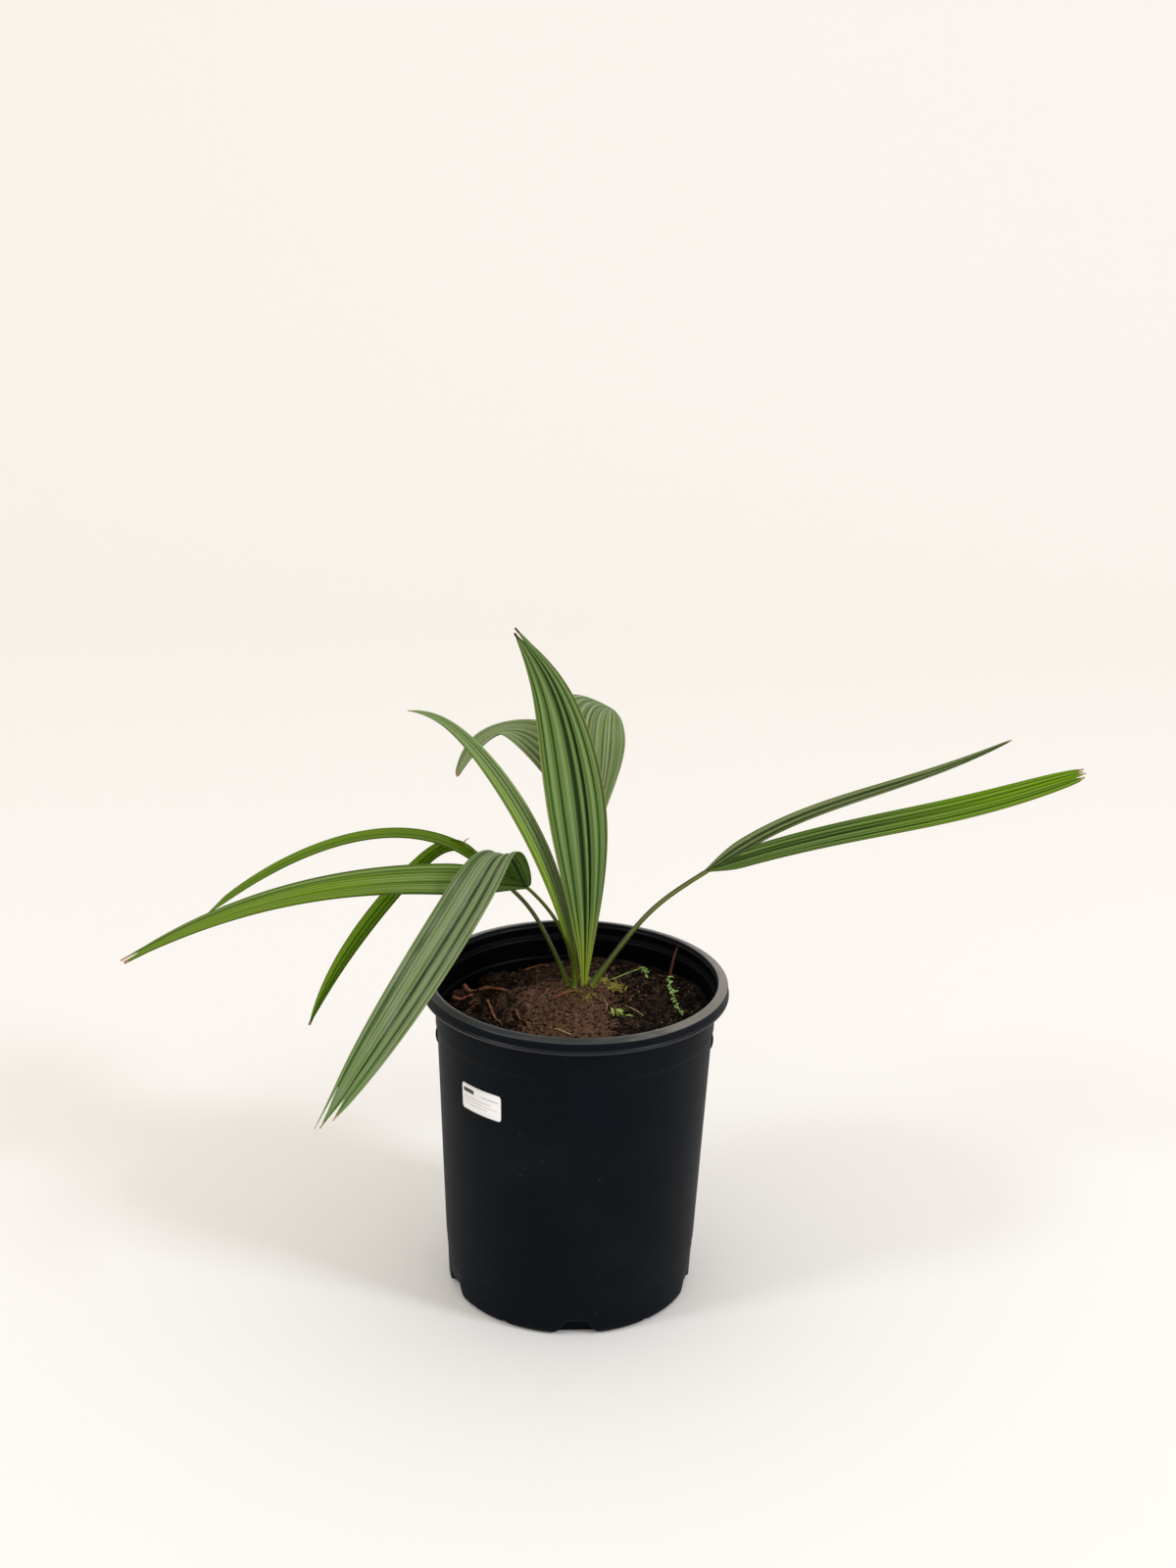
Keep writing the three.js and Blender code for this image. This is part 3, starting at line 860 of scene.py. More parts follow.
@dataclass(frozen=True)
class Profile:
    """The folded cross-section of a blade: knots across it, from -1 to 1, and their heights, from 0 to 1."""

    knots: tuple[tuple[float, float], ...]
    fine: int = 4

    @staticmethod
    def pleated(pleats: int, seed: int, low: float = 0.05, high: float = 1.0) -> "Profile":
        """Makes uneven pleats: broad rounded ribs between narrow valleys.

        Args:
            pleats: number of ribs.
            seed: which draw.
            low: height of the deepest valley.
            high: height of the highest rib.

        Returns:
            The profile.
        """
        rng = np.random.default_rng(seed)
        gaps = rng.uniform(0.7, 1.3, pleats)
        ends = np.concatenate([[0], np.cumsum(gaps)]) / gaps.sum() * 2 - 1
        knots = []
        for left, right in zip(ends[:-1], ends[1:]):
            valley, rib = low + rng.uniform(0, 0.2), high * rng.uniform(0.75, 1.0)
            knots += [(left, valley), (lerp(left, right, 0.3), lerp(valley, rib, 0.55))]
            knots += [(lerp(left, right, 0.55), rib), (lerp(left, right, 0.75), lerp(valley, rib, 0.65))]
        return Profile((*knots, (1.0, 0.3)))

    @staticmethod
    def grooved(grooves: Sequence[tuple[float, float]], slope: float = 0.07) -> "Profile":
        """Makes a flat blade with a few grooves and low edges, which the finish darkens with painted shade.

        Args:
            grooves: the place and the half width of each groove.
            slope: the width of a groove's side.

        Returns:
            The profile.
        """
        knots = [(-1.0, 0.1), (-0.88, 0.85)]
        for place, half in grooves:
            knots += [(place - half - slope, 0.9), (place - half, 0.05)]
            knots += [(place + half, 0.05), (place + half + slope, 0.9)]
        return Profile((*knots, (0.88, 0.85), (1.0, 0.1)))

    def columns(self) -> Array:
        """Places across the blade, closer together where it has more folds.

        Returns:
            The places, from -1 to 1.
        """
        places = [place for place, _ in self.knots]
        steps = np.arange((len(places) - 1) * self.fine + 1) / self.fine
        return np.interp(steps, np.arange(len(places)), places)

    def height(self, place: Array) -> Array:
        """The height of the fold at places across the blade.

        Args:
            place: places across the blade, from -1 to 1.

        Returns:
            Heights from 0 in a valley to 1 on a rib.
        """
        places, heights = (np.array(values) for values in zip(*self.knots))
        index = np.clip(np.searchsorted(places, place, side="right") - 1, 0, len(places) - 2)
        share = smooth(0, 1, (place - places[index]) / (places[index + 1] - places[index]))
        return lerp(heights[index], heights[index + 1], share)


@dataclass(frozen=True)
class Blade:
    """A pleated strap blade: a thin shell whose ribs run from its foot to its split tip."""

    name: str
    nodes: tuple[str, ...]
    limb: Limb
    tone: LeafTone
    width: float
    peak: float
    blunt: float
    profile: Profile
    foot: tuple[float, float, float] | None = None
    stalk: str | None = None
    foot_width: float = 5.5
    widening: float = 1.2
    fan: float = 0.0
    tip_width: float = 0.7
    depth: float = 1.5
    foot_depth: float = 1.0
    cup: float = 0.08
    thickness: float = 0.42
    parting: float = 1.0
    gather: float = 0.4
    points: tuple[Point, ...] = ()
    dried: float = 6.0
    seed: int = 1
    steps: int = 130
    fan_start: tuple[float, float] = (-0.002, 0.02)
    fan_end: tuple[float, float] = (0.15, 0.06)
    steepest: float = 0.16
    shallowest: float = 0.25
    point_bow: float = 1.6
    point_step: float = 0.7
    rim_thinning: float = 0.55
    dry_thinning: float = 0.4
    foot_thickness: float = 0.45

    def width_at(self, share: Array) -> Array:
        """The blade's width at each share of its length.

        Args:
            share: shares of the length.

        Returns:
            The widths.
        """
        rise = np.sin(np.pi / 2 * np.clip(share / self.peak, 0, 1)) ** self.widening
        fall = np.clip((share - self.peak) / (1 - self.peak), 0, 1)
        before = lerp(self.foot_width, self.width, rise)
        after = self.width * np.maximum(0, 1 - fall ** 2) ** self.blunt
        return np.maximum(self.tip_width, np.where(share < self.peak, before, after))

    def surface(self, foot: Array, share: Array, place: Array, column: Array,
                half: Array) -> tuple[Array, Array]:
        """Points of the pleated middle surface.

        Args:
            foot: the blade's first point.
            share: share of the length, by row.
            place: place across the blade, by row and column.
            column: place on the unsplit blade, by column, which sets the fold.
            half: half the blade's width, by row.

        Returns:
            The points and the height of the fold at each, from 0 in a valley to 1 on a rib.
        """
        _, side, face = self.limb.axes(share)
        centre = self.limb.line(foot, share)
        fold = self.profile.height(column)
        swell = np.sin(np.pi * np.clip(share, 0, 1)) ** 0.7
        depth = np.minimum(lerp(self.foot_depth, self.depth, swell), self.steepest * half + self.shallowest)
        lift = depth[:, None] * (fold - 0.5) + self.cup * 2 * half[:, None] * (place ** 2 - 1 / 3)
        reach = self.fan * smooth(*self.fan_start, share) * smooth(*self.fan_end, share)
        out = place * half[:, None] + np.maximum(place, 0) * reach[:, None]
        points = centre[:, None] + side[:, None] * out[..., None]
        return points + face[:, None] * lift[..., None], np.broadcast_to(fold, place.shape)

    def middle(self, foot: Array) -> Mesh:
        """The middle surface, split at its end into its points.

        Args:
            foot: the blade's first point.

        Returns:
            A sheet of quads with the values that the finish reads.
        """
        column = self.profile.columns()
        columns = len(column)
        share = self.stations(0.0, self.parting, self.steps)
        half = self.width_at(share) / 2
        place = np.broadcast_to(column, (len(share), columns))
        points, fold = self.surface(foot, share, place, column, half)
        sheets = [(points, fold, share, column, np.zeros((len(share), columns)))]
        faces = [grid(len(share), columns)]
        count = len(share) * columns
        base = (len(share) - 1) * columns
        for point in self.points:
            first, last = np.searchsorted(column, [point.left - 1e-6, point.right + 1e-6])
            own = column[first:last]
            rows = max(8, int((point.end - self.parting) * self.limb.length / self.point_step))
            way = np.linspace(0, 1, rows + 1)[1:]
            beyond = lerp(self.parting, point.end, way)
            held = self.width_at(np.array([self.parting]))[0] / 2 * np.ones(rows)
            pull = lerp(1.0, self.gather, (beyond - self.parting) / (1 - self.parting))
            middle = (own[0] + own[-1]) / 2
            taper = np.maximum(point.blunt, 1 - way ** self.point_bow)
            spot = middle * pull[:, None] + (own - middle) * (taper * pull)[:, None]
            split, height = self.surface(foot, beyond, spot, own, held)
            dry = smooth(self.dried + point.dried, 0.0, (point.end - beyond) * self.limb.length)
            sheets.append((split, height, beyond, own, np.broadcast_to(dry[:, None], spot.shape)))
            seam = np.stack([base + np.arange(first, last - 1), base + np.arange(first + 1, last),
                             count + np.arange(1, len(own)), count + np.arange(len(own) - 1)], -1)
            faces += [seam, grid(rows, len(own), start=count)]
            count += rows * len(own)
        if not self.points:
            left = (self.parting - share) * self.limb.length
            dry = np.broadcast_to(smooth(self.dried, 0.0, left)[:, None], points.shape[:2])
            sheets[0] = (points, fold, share, column, dry)
        return self.gathered(sheets, faces)

    def gathered(self, sheets: list[tuple[Array, ...]], faces: list[Array]) -> Mesh:
        """Joins the blade's sheets into one and works out the values on its points.

        Args:
            sheets: the points, folds, shares, places and dryness of each sheet.
            faces: the quads of all sheets.

        Returns:
            One sheet with its values and its flat map.
        """
        along = np.concatenate([np.broadcast_to(s[2][:, None], s[1].shape).reshape(-1) for s in sheets])
        across = np.concatenate([np.broadcast_to(s[3], s[1].shape).reshape(-1) for s in sheets])
        rng = np.random.default_rng(self.seed + 50)
        tones = rng.uniform(0, 6, len(self.profile.knots) // 2 + 1)
        values = {
            "along": along, "across": across, "distance": along * self.limb.length,
            # The fold's height, which the finish turns into painted shade in the valleys and painted
            # highlights on the ribs.
            "ridge": np.concatenate([s[1].reshape(-1) for s in sheets]),
            "dry": np.concatenate([s[4].reshape(-1) for s in sheets]),
            "pleat": tones[np.clip(((across + 1) / 2 * len(tones)).astype(int), 0, len(tones) - 1)],
        }
        flat = np.stack([0.01 + 0.98 * along, 0.02 + 0.96 * (across + 1) / 2], -1)
        points = np.concatenate([s[0].reshape(-1, 3) for s in sheets])
        return Mesh(points, [np.concatenate(faces)], values, flat)

    def stations(self, start: float, end: float, steps: int) -> Array:
        """Shares of the length between start and end, closer together where the limb folds.

        Args:
            start: the first share.
            end: the last share.
            steps: how many steps lie between them.

        Returns:
            The shares.
        """
        fine = np.linspace(start, end, 2000)
        measure = fine + 0.5 * self.limb.bend(fine)
        return np.interp(np.linspace(measure[0], measure[-1], steps + 1), measure, fine)

    def build(self, shop: Workshop, stalks: dict[str, Stalk]) -> None:
        """Makes the blade's piece.

        Args:
            shop: where the piece is made.
            stalks: the stalks by name, for a blade that starts at a stalk's end.
        """
        foot = stalks[self.stalk].end() if self.stalk else np.array(self.foot, float)
        sheet = self.middle(foot)
        across, along = sheet.values["across"], sheet.values["along"]
        edge = 1 - self.rim_thinning * smooth(0.9, 1.0, np.abs(across))
        thin = edge * lerp(self.foot_thickness, 1.0, smooth(0.0, 0.12, along))
        thin = thin * (1 - self.dry_thinning * sheet.values["dry"])
        skin = LeafFinish(f"{self.name}_skin", self.tone, self.width).material()
        shop.piece(self.name, thicken(sheet, self.thickness * thin), skin, self.nodes)


class Leaves:
    """The five leaves: four stalks and ten blades, two to a leaf."""

    stalks = {
        "front": Stalk("stalk_front", (-1, 17, 226), Limb(192, 89, 92, 4, -45, 0.4, 0.38), 4.1),
        "left": Stalk("stalk_left", (-5, 22, 226), Limb(168, 65, 99, 1, -32, 0.7, 0.13), 4.1),
        "right": Stalk("stalk_right", (11, 20, 226), Limb(18, 53, 121, 1, -25, 0.6, 0.1), 4.7),
        "back": Stalk("stalk_back", (6, 28, 226), Limb(82, 76, 87, 0, 12, 0.5, 0.25)),
    }
    fresh = LeafTone(green=shade(86, 114, 46), ridge=shade(132, 157, 98), valley=shade(20, 44, 8),
                     foot_end=0.27, bloomed=0.0, foot=shade(162, 182, 50), veined=0.55,
                     rim=shade(150, 142, 84), dry=shade(88, 58, 36))
    # The sunny colours of lit, long and right are a painted glow of light through the blade, that of upper a
    # painted highlight.
    lit = LeafTone(green=shade(100, 124, 66), valley=shade(30, 56, 16), foot_end=0.25, bloomed=0.15,
                   sunny_from=0.95, sunny_to=0.3, side_from=-0.1, side_to=-0.3, sunny=shade(132, 166, 24),
                   foot=shade(160, 184, 50), gloss=0.12)
    # In the waxy tone the foot colour is painted shade inside the fold at the blade's base, and the sunny
    # colour only a greener end.
    waxy = LeafTone(green=shade(90, 113, 61), ridge=shade(136, 150, 104), valley=shade(24, 44, 16),
                    bloomed=0.5, dry=shade(176, 146, 112), foot=shade(52, 86, 20), foot_end=0.18, shown=0.9,
                    rim=shade(140, 152, 100), sunny=shade(94, 132, 50), sunny_from=0.6, sunny_to=1.0)
    back = LeafTone(green=shade(106, 128, 69), ridge=shade(152, 165, 117), valley=shade(56, 78, 30),
                    bloomed=0.35, rim=shade(132, 126, 98))
    long = LeafTone(green=shade(82, 110, 36), ridge=shade(130, 152, 82), valley=shade(30, 56, 8),
                    bloomed=0.1, sunny=shade(105, 135, 2), sunny_from=0.2, sunny_to=0.5, side_from=0.8,
                    side_to=0.4, gloss=0.05)
    shaded = LeafTone(green=shade(76, 108, 10), ridge=shade(108, 138, 36), valley=shade(28, 50, 2),
                      bloomed=0.0, gloss=0.04)
    bright = LeafTone(green=shade(98, 142, 14), ridge=shade(140, 172, 54), valley=shade(44, 76, 6),
                      bloomed=0.0, gloss=0.04)
    right = LeafTone(green=shade(84, 112, 42), ridge=shade(122, 144, 76), valley=shade(20, 44, 4),
                     bloomed=0.1, sunny=shade(116, 154, 8), sunny_from=0.3, sunny_to=0.8, gloss=0.06,
                     rim=shade(84, 76, 34), rimmed=0.85, dry=shade(180, 140, 104))
    upper = LeafTone(green=shade(104, 122, 62), ridge=shade(150, 162, 112), valley=shade(30, 50, 12),
                     bloomed=0.15, sunny=shade(152, 166, 120), sunny_from=0.25, sunny_to=0.55, side_from=-0.2,
                     side_to=-0.55, gloss=0.12)
    broad_folds = Profile((
        (-1.0, 0.5), (-0.86, 0.62), (-0.8, 0.25), (-0.7, 0.85), (-0.56, 0.8), (-0.47, 0.15), (-0.38, 0.6),
        (-0.24, 1.0), (-0.12, 0.8), (-0.05, 0.35), (0.0, 0.16), (0.12, 0.1), (0.17, 0.85), (0.23, 0.9),
        (0.3, 0.1), (0.36, 0.0), (0.43, 0.6), (0.55, 0.95), (0.65, 0.75), (0.7, 0.2), (0.75, 0.8),
        (0.85, 0.95), (0.9, 0.35), (1.0, 0.25)))
    hanging_folds = Profile((
        (-1.0, 0.3), (-0.88, 0.7), (-0.74, 1.0), (-0.6, 0.75), (-0.48, 0.12), (-0.4, 0.6), (-0.28, 0.9),
        (-0.14, 0.7), (0.0, 0.0), (0.14, 0.7), (0.34, 0.95), (0.6, 0.72), (0.74, 0.22), (0.86, 0.75),
        (1.0, 0.5)), 5)
    narrow_folds = Profile.grooved(((-0.14, 0.05), (0.26, 0.02), (0.6, 0.02)))
    long_folds = Profile((
        (-1.0, 0.0), (-0.9, 0.1), (-0.8, 0.75), (-0.5, 0.95), (-0.12, 0.8), (0.0, 0.4), (0.12, 0.8),
        (0.4, 0.85), (0.56, 0.65), (0.64, 0.4), (0.76, 0.85), (1.0, 0.7)), 5)
    right_folds = Profile.grooved(((-0.68, 0.04), (-0.36, 0.05), (-0.04, 0.04), (0.28, 0.05), (0.6, 0.05)))
    arching_folds = Profile.grooved(((-0.1, 0.02),))
    left_folds = Profile.grooved(((-0.34, 0.02), (0.22, 0.02), (0.66, 0.01)))
    upper_folds = Profile.grooved(((-0.3, 0.04), (0.4, 0.06)))
    blades = [
        Blade(
            "blade_upright_broad", ("leaf_upright_broad",),
            Limb(192, 91, 282, 6.6, -19.9, 0.842, 0.0613, -18.4, -6.9, 57.9, 67.7),
            fresh, 42.1, 0.513, 0.92, broad_folds, foot=(6, 17, 226), depth=2.6, foot_depth=1.5,
            parting=0.945, gather=0.6, dried=10, seed=11, steps=150,
            points=(Point(-1, 0.12, 0.988, 0.4), Point(0.2, 1, 1.0, 0.5))),
        Blade(
            "blade_upright_narrow", ("leaf_upright_narrow",),
            Limb(189, 83.4, 259, 1.4, -38.3, 0.958, 0.052, -40.9, 1.0, 32.3, 8.7),
            lit, 21.6, 0.422, 0.968, narrow_folds, foot=(1, 20.5, 226), seed=12, cup=0.03, depth=2.0),
        Blade(
            "blade_back_right", ("leaf_back_right_root", "leaf_back_right_tip"),
            Limb(107.2, 83.2, 155.7, -11.7, -110.1, 0.684, 0.101, 7.4, -26.8, -48, 28.4),
            back, 58.7, 0.524, 0.658, Profile.pleated(9, 13), stalk="back", seed=13, depth=1.8, cup=0.02),
        Blade(
            "blade_back_left", ("leaf_back_left_root", "leaf_back_left_tip"),
            Limb(137, 97, 189, 74.8, -22.7, 0.737, 0.0491, -138, 0, 55.4, -81.5),
            back, 43.1, 0.649, 0.3, Profile.pleated(6, 14), stalk="back", seed=14, depth=1.8),
        Blade(
            "blade_front_hanging", ("leaf_front_hanging_root", "leaf_front_hanging_tip"),
            Limb(205.1, 68.4, 268, 39, -102.2, 0.131, 0.02, -15.1, -27.4, -19.6, 35.1),
            waxy, 43.7, 0.319, 0.616, hanging_folds, stalk="front", foot_width=4, widening=0.543, fan=14,
            depth=2.2, parting=0.9, gather=0.6, seed=15, steps=170, dried=9,
            points=(Point(-1, -0.28, 0.976), Point(-0.28, 0.78, 1.01), Point(0.78, 1, 1.02, 0.35))),
        Blade(
            "blade_front_long", ("leaf_front_long",),
            Limb(179, 5.2, 294, 14.9, -28.2, 0.607, 0.388, -0.35, 10.7, 18.6, -25.5),
            long, 37.5, 0.193, 0.6, long_folds, stalk="front", seed=16, fan=7, parting=0.935, gather=0.95,
            points=(Point(-1, 0.5, 0.996, 0.55), Point(0.6, 1, 1.0, 0.6, 12)), dried=7),
        Blade(
            "blade_left_arching", ("leaf_left_arching_root", "leaf_left_arching_tip"),
            Limb(166, 46.3, 232, 8.7, -50.7, 0.0715, 0.175, -34.7, 16.3, -1.4, 8.1),
            shaded, 19.4, 0.106, 0.388, arching_folds, stalk="left", seed=17, parting=0.93,
            points=(Point(-1, 1, 1.006, 0.1),)),
        Blade(
            "blade_left_hanging", ("leaf_left_hanging_root", "leaf_left_hanging_tip"),
            Limb(149, 40.5, 224, 59.4, -76, 0.172, 0.0366, -33.7, -44.5, -62.2, 26.8),
            bright, 20.5, 0.431, 0.884, left_folds, stalk="left", seed=18, depth=1.8, tip_width=2.4),
        Blade(
            "blade_right_upper", ("leaf_right_upper",),
            Limb(9, 38.9, 252, 3.4, -46.9, 0.151, 0.183, 27.9, 8.0, 58.9, -6.8),
            upper, 17.5, 0.135, 0.531, upper_folds, stalk="right", seed=19, tip_width=0.5, depth=1.8),
        Blade(
            "blade_right_lower", ("leaf_right_lower",),
            Limb(10.8, 17.3, 293, 4.1, 20.1, 0.715, 0.141, -21.7, -5.4, 0.2, -29.3),
            right, 29.9, 0.08, 0.323, right_folds, stalk="right", seed=20, parting=0.965, depth=2.2,
            gather=0.75, dried=7,
            points=(Point(-1, -0.6, 0.994, 0.3), Point(-0.6, -0.2, 0.989, 0.3), Point(-0.2, 0.2, 0.995, 0.3),
                    Point(0.2, 1, 0.986, 0.35))),
    ]

    def build(self, shop: Workshop) -> None:
        """Makes all stalks and blades.

        Args:
            shop: where the pieces are made.
        """
        skin = StalkFinish().material()
        for stalk in self.stalks.values():
            stalk.build(shop, skin)
        for blade in self.blades:
            blade.build(shop, self.stalks)
        self.marks(shop)

    def marks(self, shop: Workshop) -> None:
        """Makes the dry spike on the arching blade and the pale scars on the blade that hangs below it.

        Args:
            shop: where the pieces are made.
        """
        foot = self.stalks["left"].end()
        limbs = {blade.name: blade.limb for blade in self.blades}
        arching, hanging = limbs["blade_left_arching"], limbs["blade_left_hanging"]
        spike = leaflet(arching.line(foot, np.array([0.13]))[0] + [0, 0, 3], 20, 68, 8, 1.7)
        brown = PlainFinish("dry_spike_skin", shade(112, 104, 40), shade(82, 60, 30), 0.7, 300.0)
        shop.piece("dry_spike", spike, brown.material())
        share = np.array([0.545, 0.565])
        _, side, face = hanging.axes(share)
        spots = hanging.line(foot, share) + face * 1.3 + side * np.array([[-1.0], [3.0]])
        scars = [leaflet(spot, 230 + 50 * number, -30, 4, 1.1) for number, spot in enumerate(spots)]
        pale = PlainFinish("scar_skin", shade(214, 216, 190), shade(180, 186, 140), 0.7, 300.0)
        shop.heap("leaf_scars", scars, pale.material())


@dataclass(frozen=True)
class Notch:
    """An opening in the pot's foot, with slanting sides and round upper corners."""

    bottom: float
    top: float
    height: float
    corner: float
    below: float = 2.0

    def opening(self, flare: float) -> Outline:
        """The outline of the opening, as side and height.

        Args:
            flare: how much wider and higher it is made.

        Returns:
            The corners, from the lower right one to the lower left one.
        """
        wide = self.bottom / 2 + flare
        slope = (self.bottom - self.top) / 2 / self.height
        outline = [(wide + slope * self.below, -self.below)]
        for turn in np.radians(np.linspace(0, 90, 5)):
            rise = self.height + flare - self.corner * (1 - math.sin(turn))
            outline.append((wide - slope * self.height - self.corner * (1 - math.cos(turn)), rise))
        return outline + [(-side, rise) for side, rise in outline[::-1]]


@dataclass(frozen=True)
class NurseryPot:
    """The round pot: a tapering wall with a stepped neck, an overhanging rim, a skirt and a notched foot."""

    rim_radius: float = 110.0
    height: float = 242.0
    mouth_radius: float = 102.5
    wall: float = 1.8
    neck_radius: float = 101.85
    neck_height: float = 207.0
    neck_step: float = 1.0
    inner_step: float = 0.8
    inner_steps: tuple[float, float] = (229.5, 215.0)
    bottom_radius: float = 91.4
    skirt_height: float = 38.0
    skirt_step: float = 0.3
    ring_height: float = 30.0
    foot_radius: float = 90.0
    foot_corner: float = 5.5
    floor_height: float = 16.0
    pad_radius: float = 46.0
    pad_slope: float = 6.0
    pad_rise: float = 8.0
    floor: float = 2.8
    inner_foot: float = 80.0
    foot_slope: float = 4.0
    rim_fall: float = 1.5
    rim_band: float = 10.0
    segments: int = 288
    notches: int = 5
    notch_turn: float = 274.1
    notch: Notch = Notch(35.0, 18.0, 11.2, 2.8)
    nick: Notch = Notch(6.0, 6.0, 2.6, 0.5)
    notch_back: float = 1.5
    bevel_depth: float = 1.4
    bevel_reach: float = 3.0
    bevel: float = 4.2
    # How strongly edges take painted highlight lines, which also show wear.
    bevel_shine_and_wear: float = 0.8
    foot_shine_and_wear: float = 0.35
    wall_shine_and_wear: float = 0.12
    inside_shine_and_wear: float = 0.3
    sharp_turn: tuple[float, float] = (0.25, 0.9)
    neck_calm: float = 4.0
    lug_turns: tuple[float, float] = (184.0, 356.0)
    lug_bottom: float = 190.0
    lug_top: float = 203.0
    lug_proud: float = 1.5
    lug_edge: float = 0.3
    lug_swell: float = 1.3

    def taper(self, height: float) -> float:
        """The radius of the plain cone at a height."""
        return lerp(self.bottom_radius, self.neck_radius, height / (self.height - self.rim_band))

    def outside(self, height: float) -> float:
        """The wall's outer radius at a height."""
        return self.taper(height) - (self.neck_step if height < self.neck_height else 0)

    def inside(self, height: float) -> float:
        """The wall's inner radius at a height."""
        steps = sum(height > step for step in self.inner_steps)
        return self.taper(height) - self.neck_step - self.wall + self.inner_step * steps

    def profile(self) -> Outline:
        """The closed outline that is turned about the axis, as radius and height.

        Returns:
            The corners, from the middle of the underside to the middle of the floor.
        """
        wall, top, lip = self.wall, self.height, self.height - self.rim_band
        rim, mouth, shoulder = self.rim_radius, self.mouth_radius, top - self.rim_fall
        dome = self.floor_height - wall
        outline = [(0, 0), (self.pad_radius, 0), (self.pad_radius + self.pad_slope, dome)]
        outline += [(self.inner_foot - self.foot_slope, dome), (self.inner_foot, 0)]
        for turn in np.radians(np.linspace(0, 90, 6)):
            inset = self.foot_corner * (1 - math.sin(turn))
            outline.append((self.foot_radius - inset, self.foot_corner * (1 - math.cos(turn))))
        ring, skirt, neck = self.ring_height, self.skirt_height, self.neck_height
        narrow = self.outside(ring) - self.skirt_step
        outline += [(narrow - self.skirt_step - 0.2, ring - 4)]
        outline += self.step(ring, narrow - self.skirt_step, narrow)
        outline += self.step(skirt, self.outside(skirt) - self.skirt_step, self.outside(skirt))
        outline += [(self.outside(height), height) for height in np.linspace(skirt + 6, neck - 6, 8)]
        outline += self.step(neck, self.outside(neck - 0.1), self.outside(neck))
        outline += [(self.neck_radius, shoulder - 3.4), (self.neck_radius + 0.5, shoulder - 2.8)]
        outline += [(rim - wall - 0.6, shoulder - 2.4), (rim - wall, shoulder - 3.0)]
        outline += [(rim - wall, lip + 0.3), (rim - wall + 0.3, lip)]
        outline += [(rim + 0.3, lip), (rim + 0.5, lip + 0.25)]
        outline += [(rim + 0.5, lip + 1.5), (rim + 0.3, lip + 1.9), (rim - 0.15, lip + 2.3)]
        outline += [(rim - 0.3, lip + 2.8), (rim - 0.3, shoulder - 1.2), (rim - 0.5, shoulder - 0.6)]
        outline += [(rim - 0.9, shoulder - 0.1), (rim - 1.5, shoulder + 0.1)]
        outline += [(lerp(rim - 1.5, mouth + 0.9, share), lerp(shoulder + 0.1, top - 0.05, share))
                    for share in (0.33, 0.66, 1.0)]
        outline += [(mouth + 0.25, top - 0.25), (mouth, top - 0.9), (mouth - 0.05, top - 3.0)]
        outline += [(mouth - 0.35, top - 3.3), (mouth - 0.7, top - 3.5), (mouth - 0.95, lip + 0.4)]
        for height in self.inner_steps:
            outline += reversed(self.step(height, self.inside(height - 0.5), self.inside(height + 0.5)))
        plain = np.linspace(self.inner_steps[1] - 8, skirt, 4)
        outline += [(self.inside(height), height) for height in plain]
        outline += [(self.inner_foot + wall, self.floor_height)]
        outline += [(self.pad_radius + self.pad_rise, self.floor_height)]
        outline += [(self.pad_radius, self.floor), (0, self.floor)]
        return self.supported(outline)

    @staticmethod
    def supported(outline: Outline, long: float = 3.0, near: float = 0.7) -> Outline:
        """Adds a point near each end of a long line, which keeps a corner's shading off the flat.

        Args:
            outline: the corners.
            long: the length from which a line gets its points.
            near: how far a point is from its corner.

        Returns:
            The fuller outline.
        """
        full = [outline[0]]
        for start, end in zip(outline[:-1], outline[1:]):
            length = math.hypot(end[0] - start[0], end[1] - start[1])
            if length > long:
                shares = (near / length, 1 - near / length)
                full += [tuple(lerp(np.array(start), np.array(end), share)) for share in shares]
            full.append(end)
        return full

    def step(self, height: float, below: float, above: float) -> Outline:
        """A soft-edged step of the wall at a height, from the radius below to the one above."""
        shares = ((-1.3, 0.0), (-0.7, 0.1), (-0.25, 0.45), (0.1, 0.85), (0.6, 1.0), (1.2, 0.97))
        return [(lerp(below, above, share), height + rise) for rise, share in shares]

    def turned(self) -> Mesh:
        """The outline turned about the axis, with its edges marked for painted highlight lines and wear, its
        rim's top for a painted sheen and highlight and its inside for painted shade.

        Returns:
            The closed wall.
        """
        outline = self.profile()
        angle = circle(self.segments)
        body = np.array(outline[1:-1])
        rings = np.stack([np.outer(body[:, 0], np.cos(angle)), np.outer(body[:, 0], np.sin(angle)),
                          np.repeat(body[:, 1:], self.segments, 1)], -1)
        away = np.diff(np.concatenate([body[:1], body, body[-1:]]), axis=0)
        bearing = np.unwrap(np.arctan2(away[:, 1], away[:, 0]))
        height = body[:, 1]
        # Edges take painted highlight lines, which also show wear: full on the rim, weaker at the foot, the
        # wall and the inside, none at the neck step.
        sharp = smooth(*self.sharp_turn, np.abs(np.diff(bearing)))
        low = np.where(height < self.foot_corner + 1, self.foot_shine_and_wear, self.wall_shine_and_wear)
        neck = np.where(height > self.neck_height - self.neck_calm, 0.0, low)
        sharp *= np.where(height > self.neck_height + self.neck_calm, 1.0, neck)
        # The rim's top, for a painted sheen and highlight, and the inside wall, for painted shade.
        crest = (height > self.height - self.rim_fall - 0.3) & (body[:, 0] > self.mouth_radius + 0.1)
        inner = (np.cumsum(crest) == crest.sum()) & (height > self.skirt_height)
        sharp *= np.where(inner, self.inside_shine_and_wear, 1.0)
        values = {name: np.broadcast_to(value[:, None].astype(float), rings.shape[:2])
                  for name, value in (("edge", sharp), ("top", crest), ("inner", inner))}
        made = tube(rings, values)
        made.points[-2:] = [[0, 0, outline[0][1]], [0, 0, outline[-1][1]]]
        return made

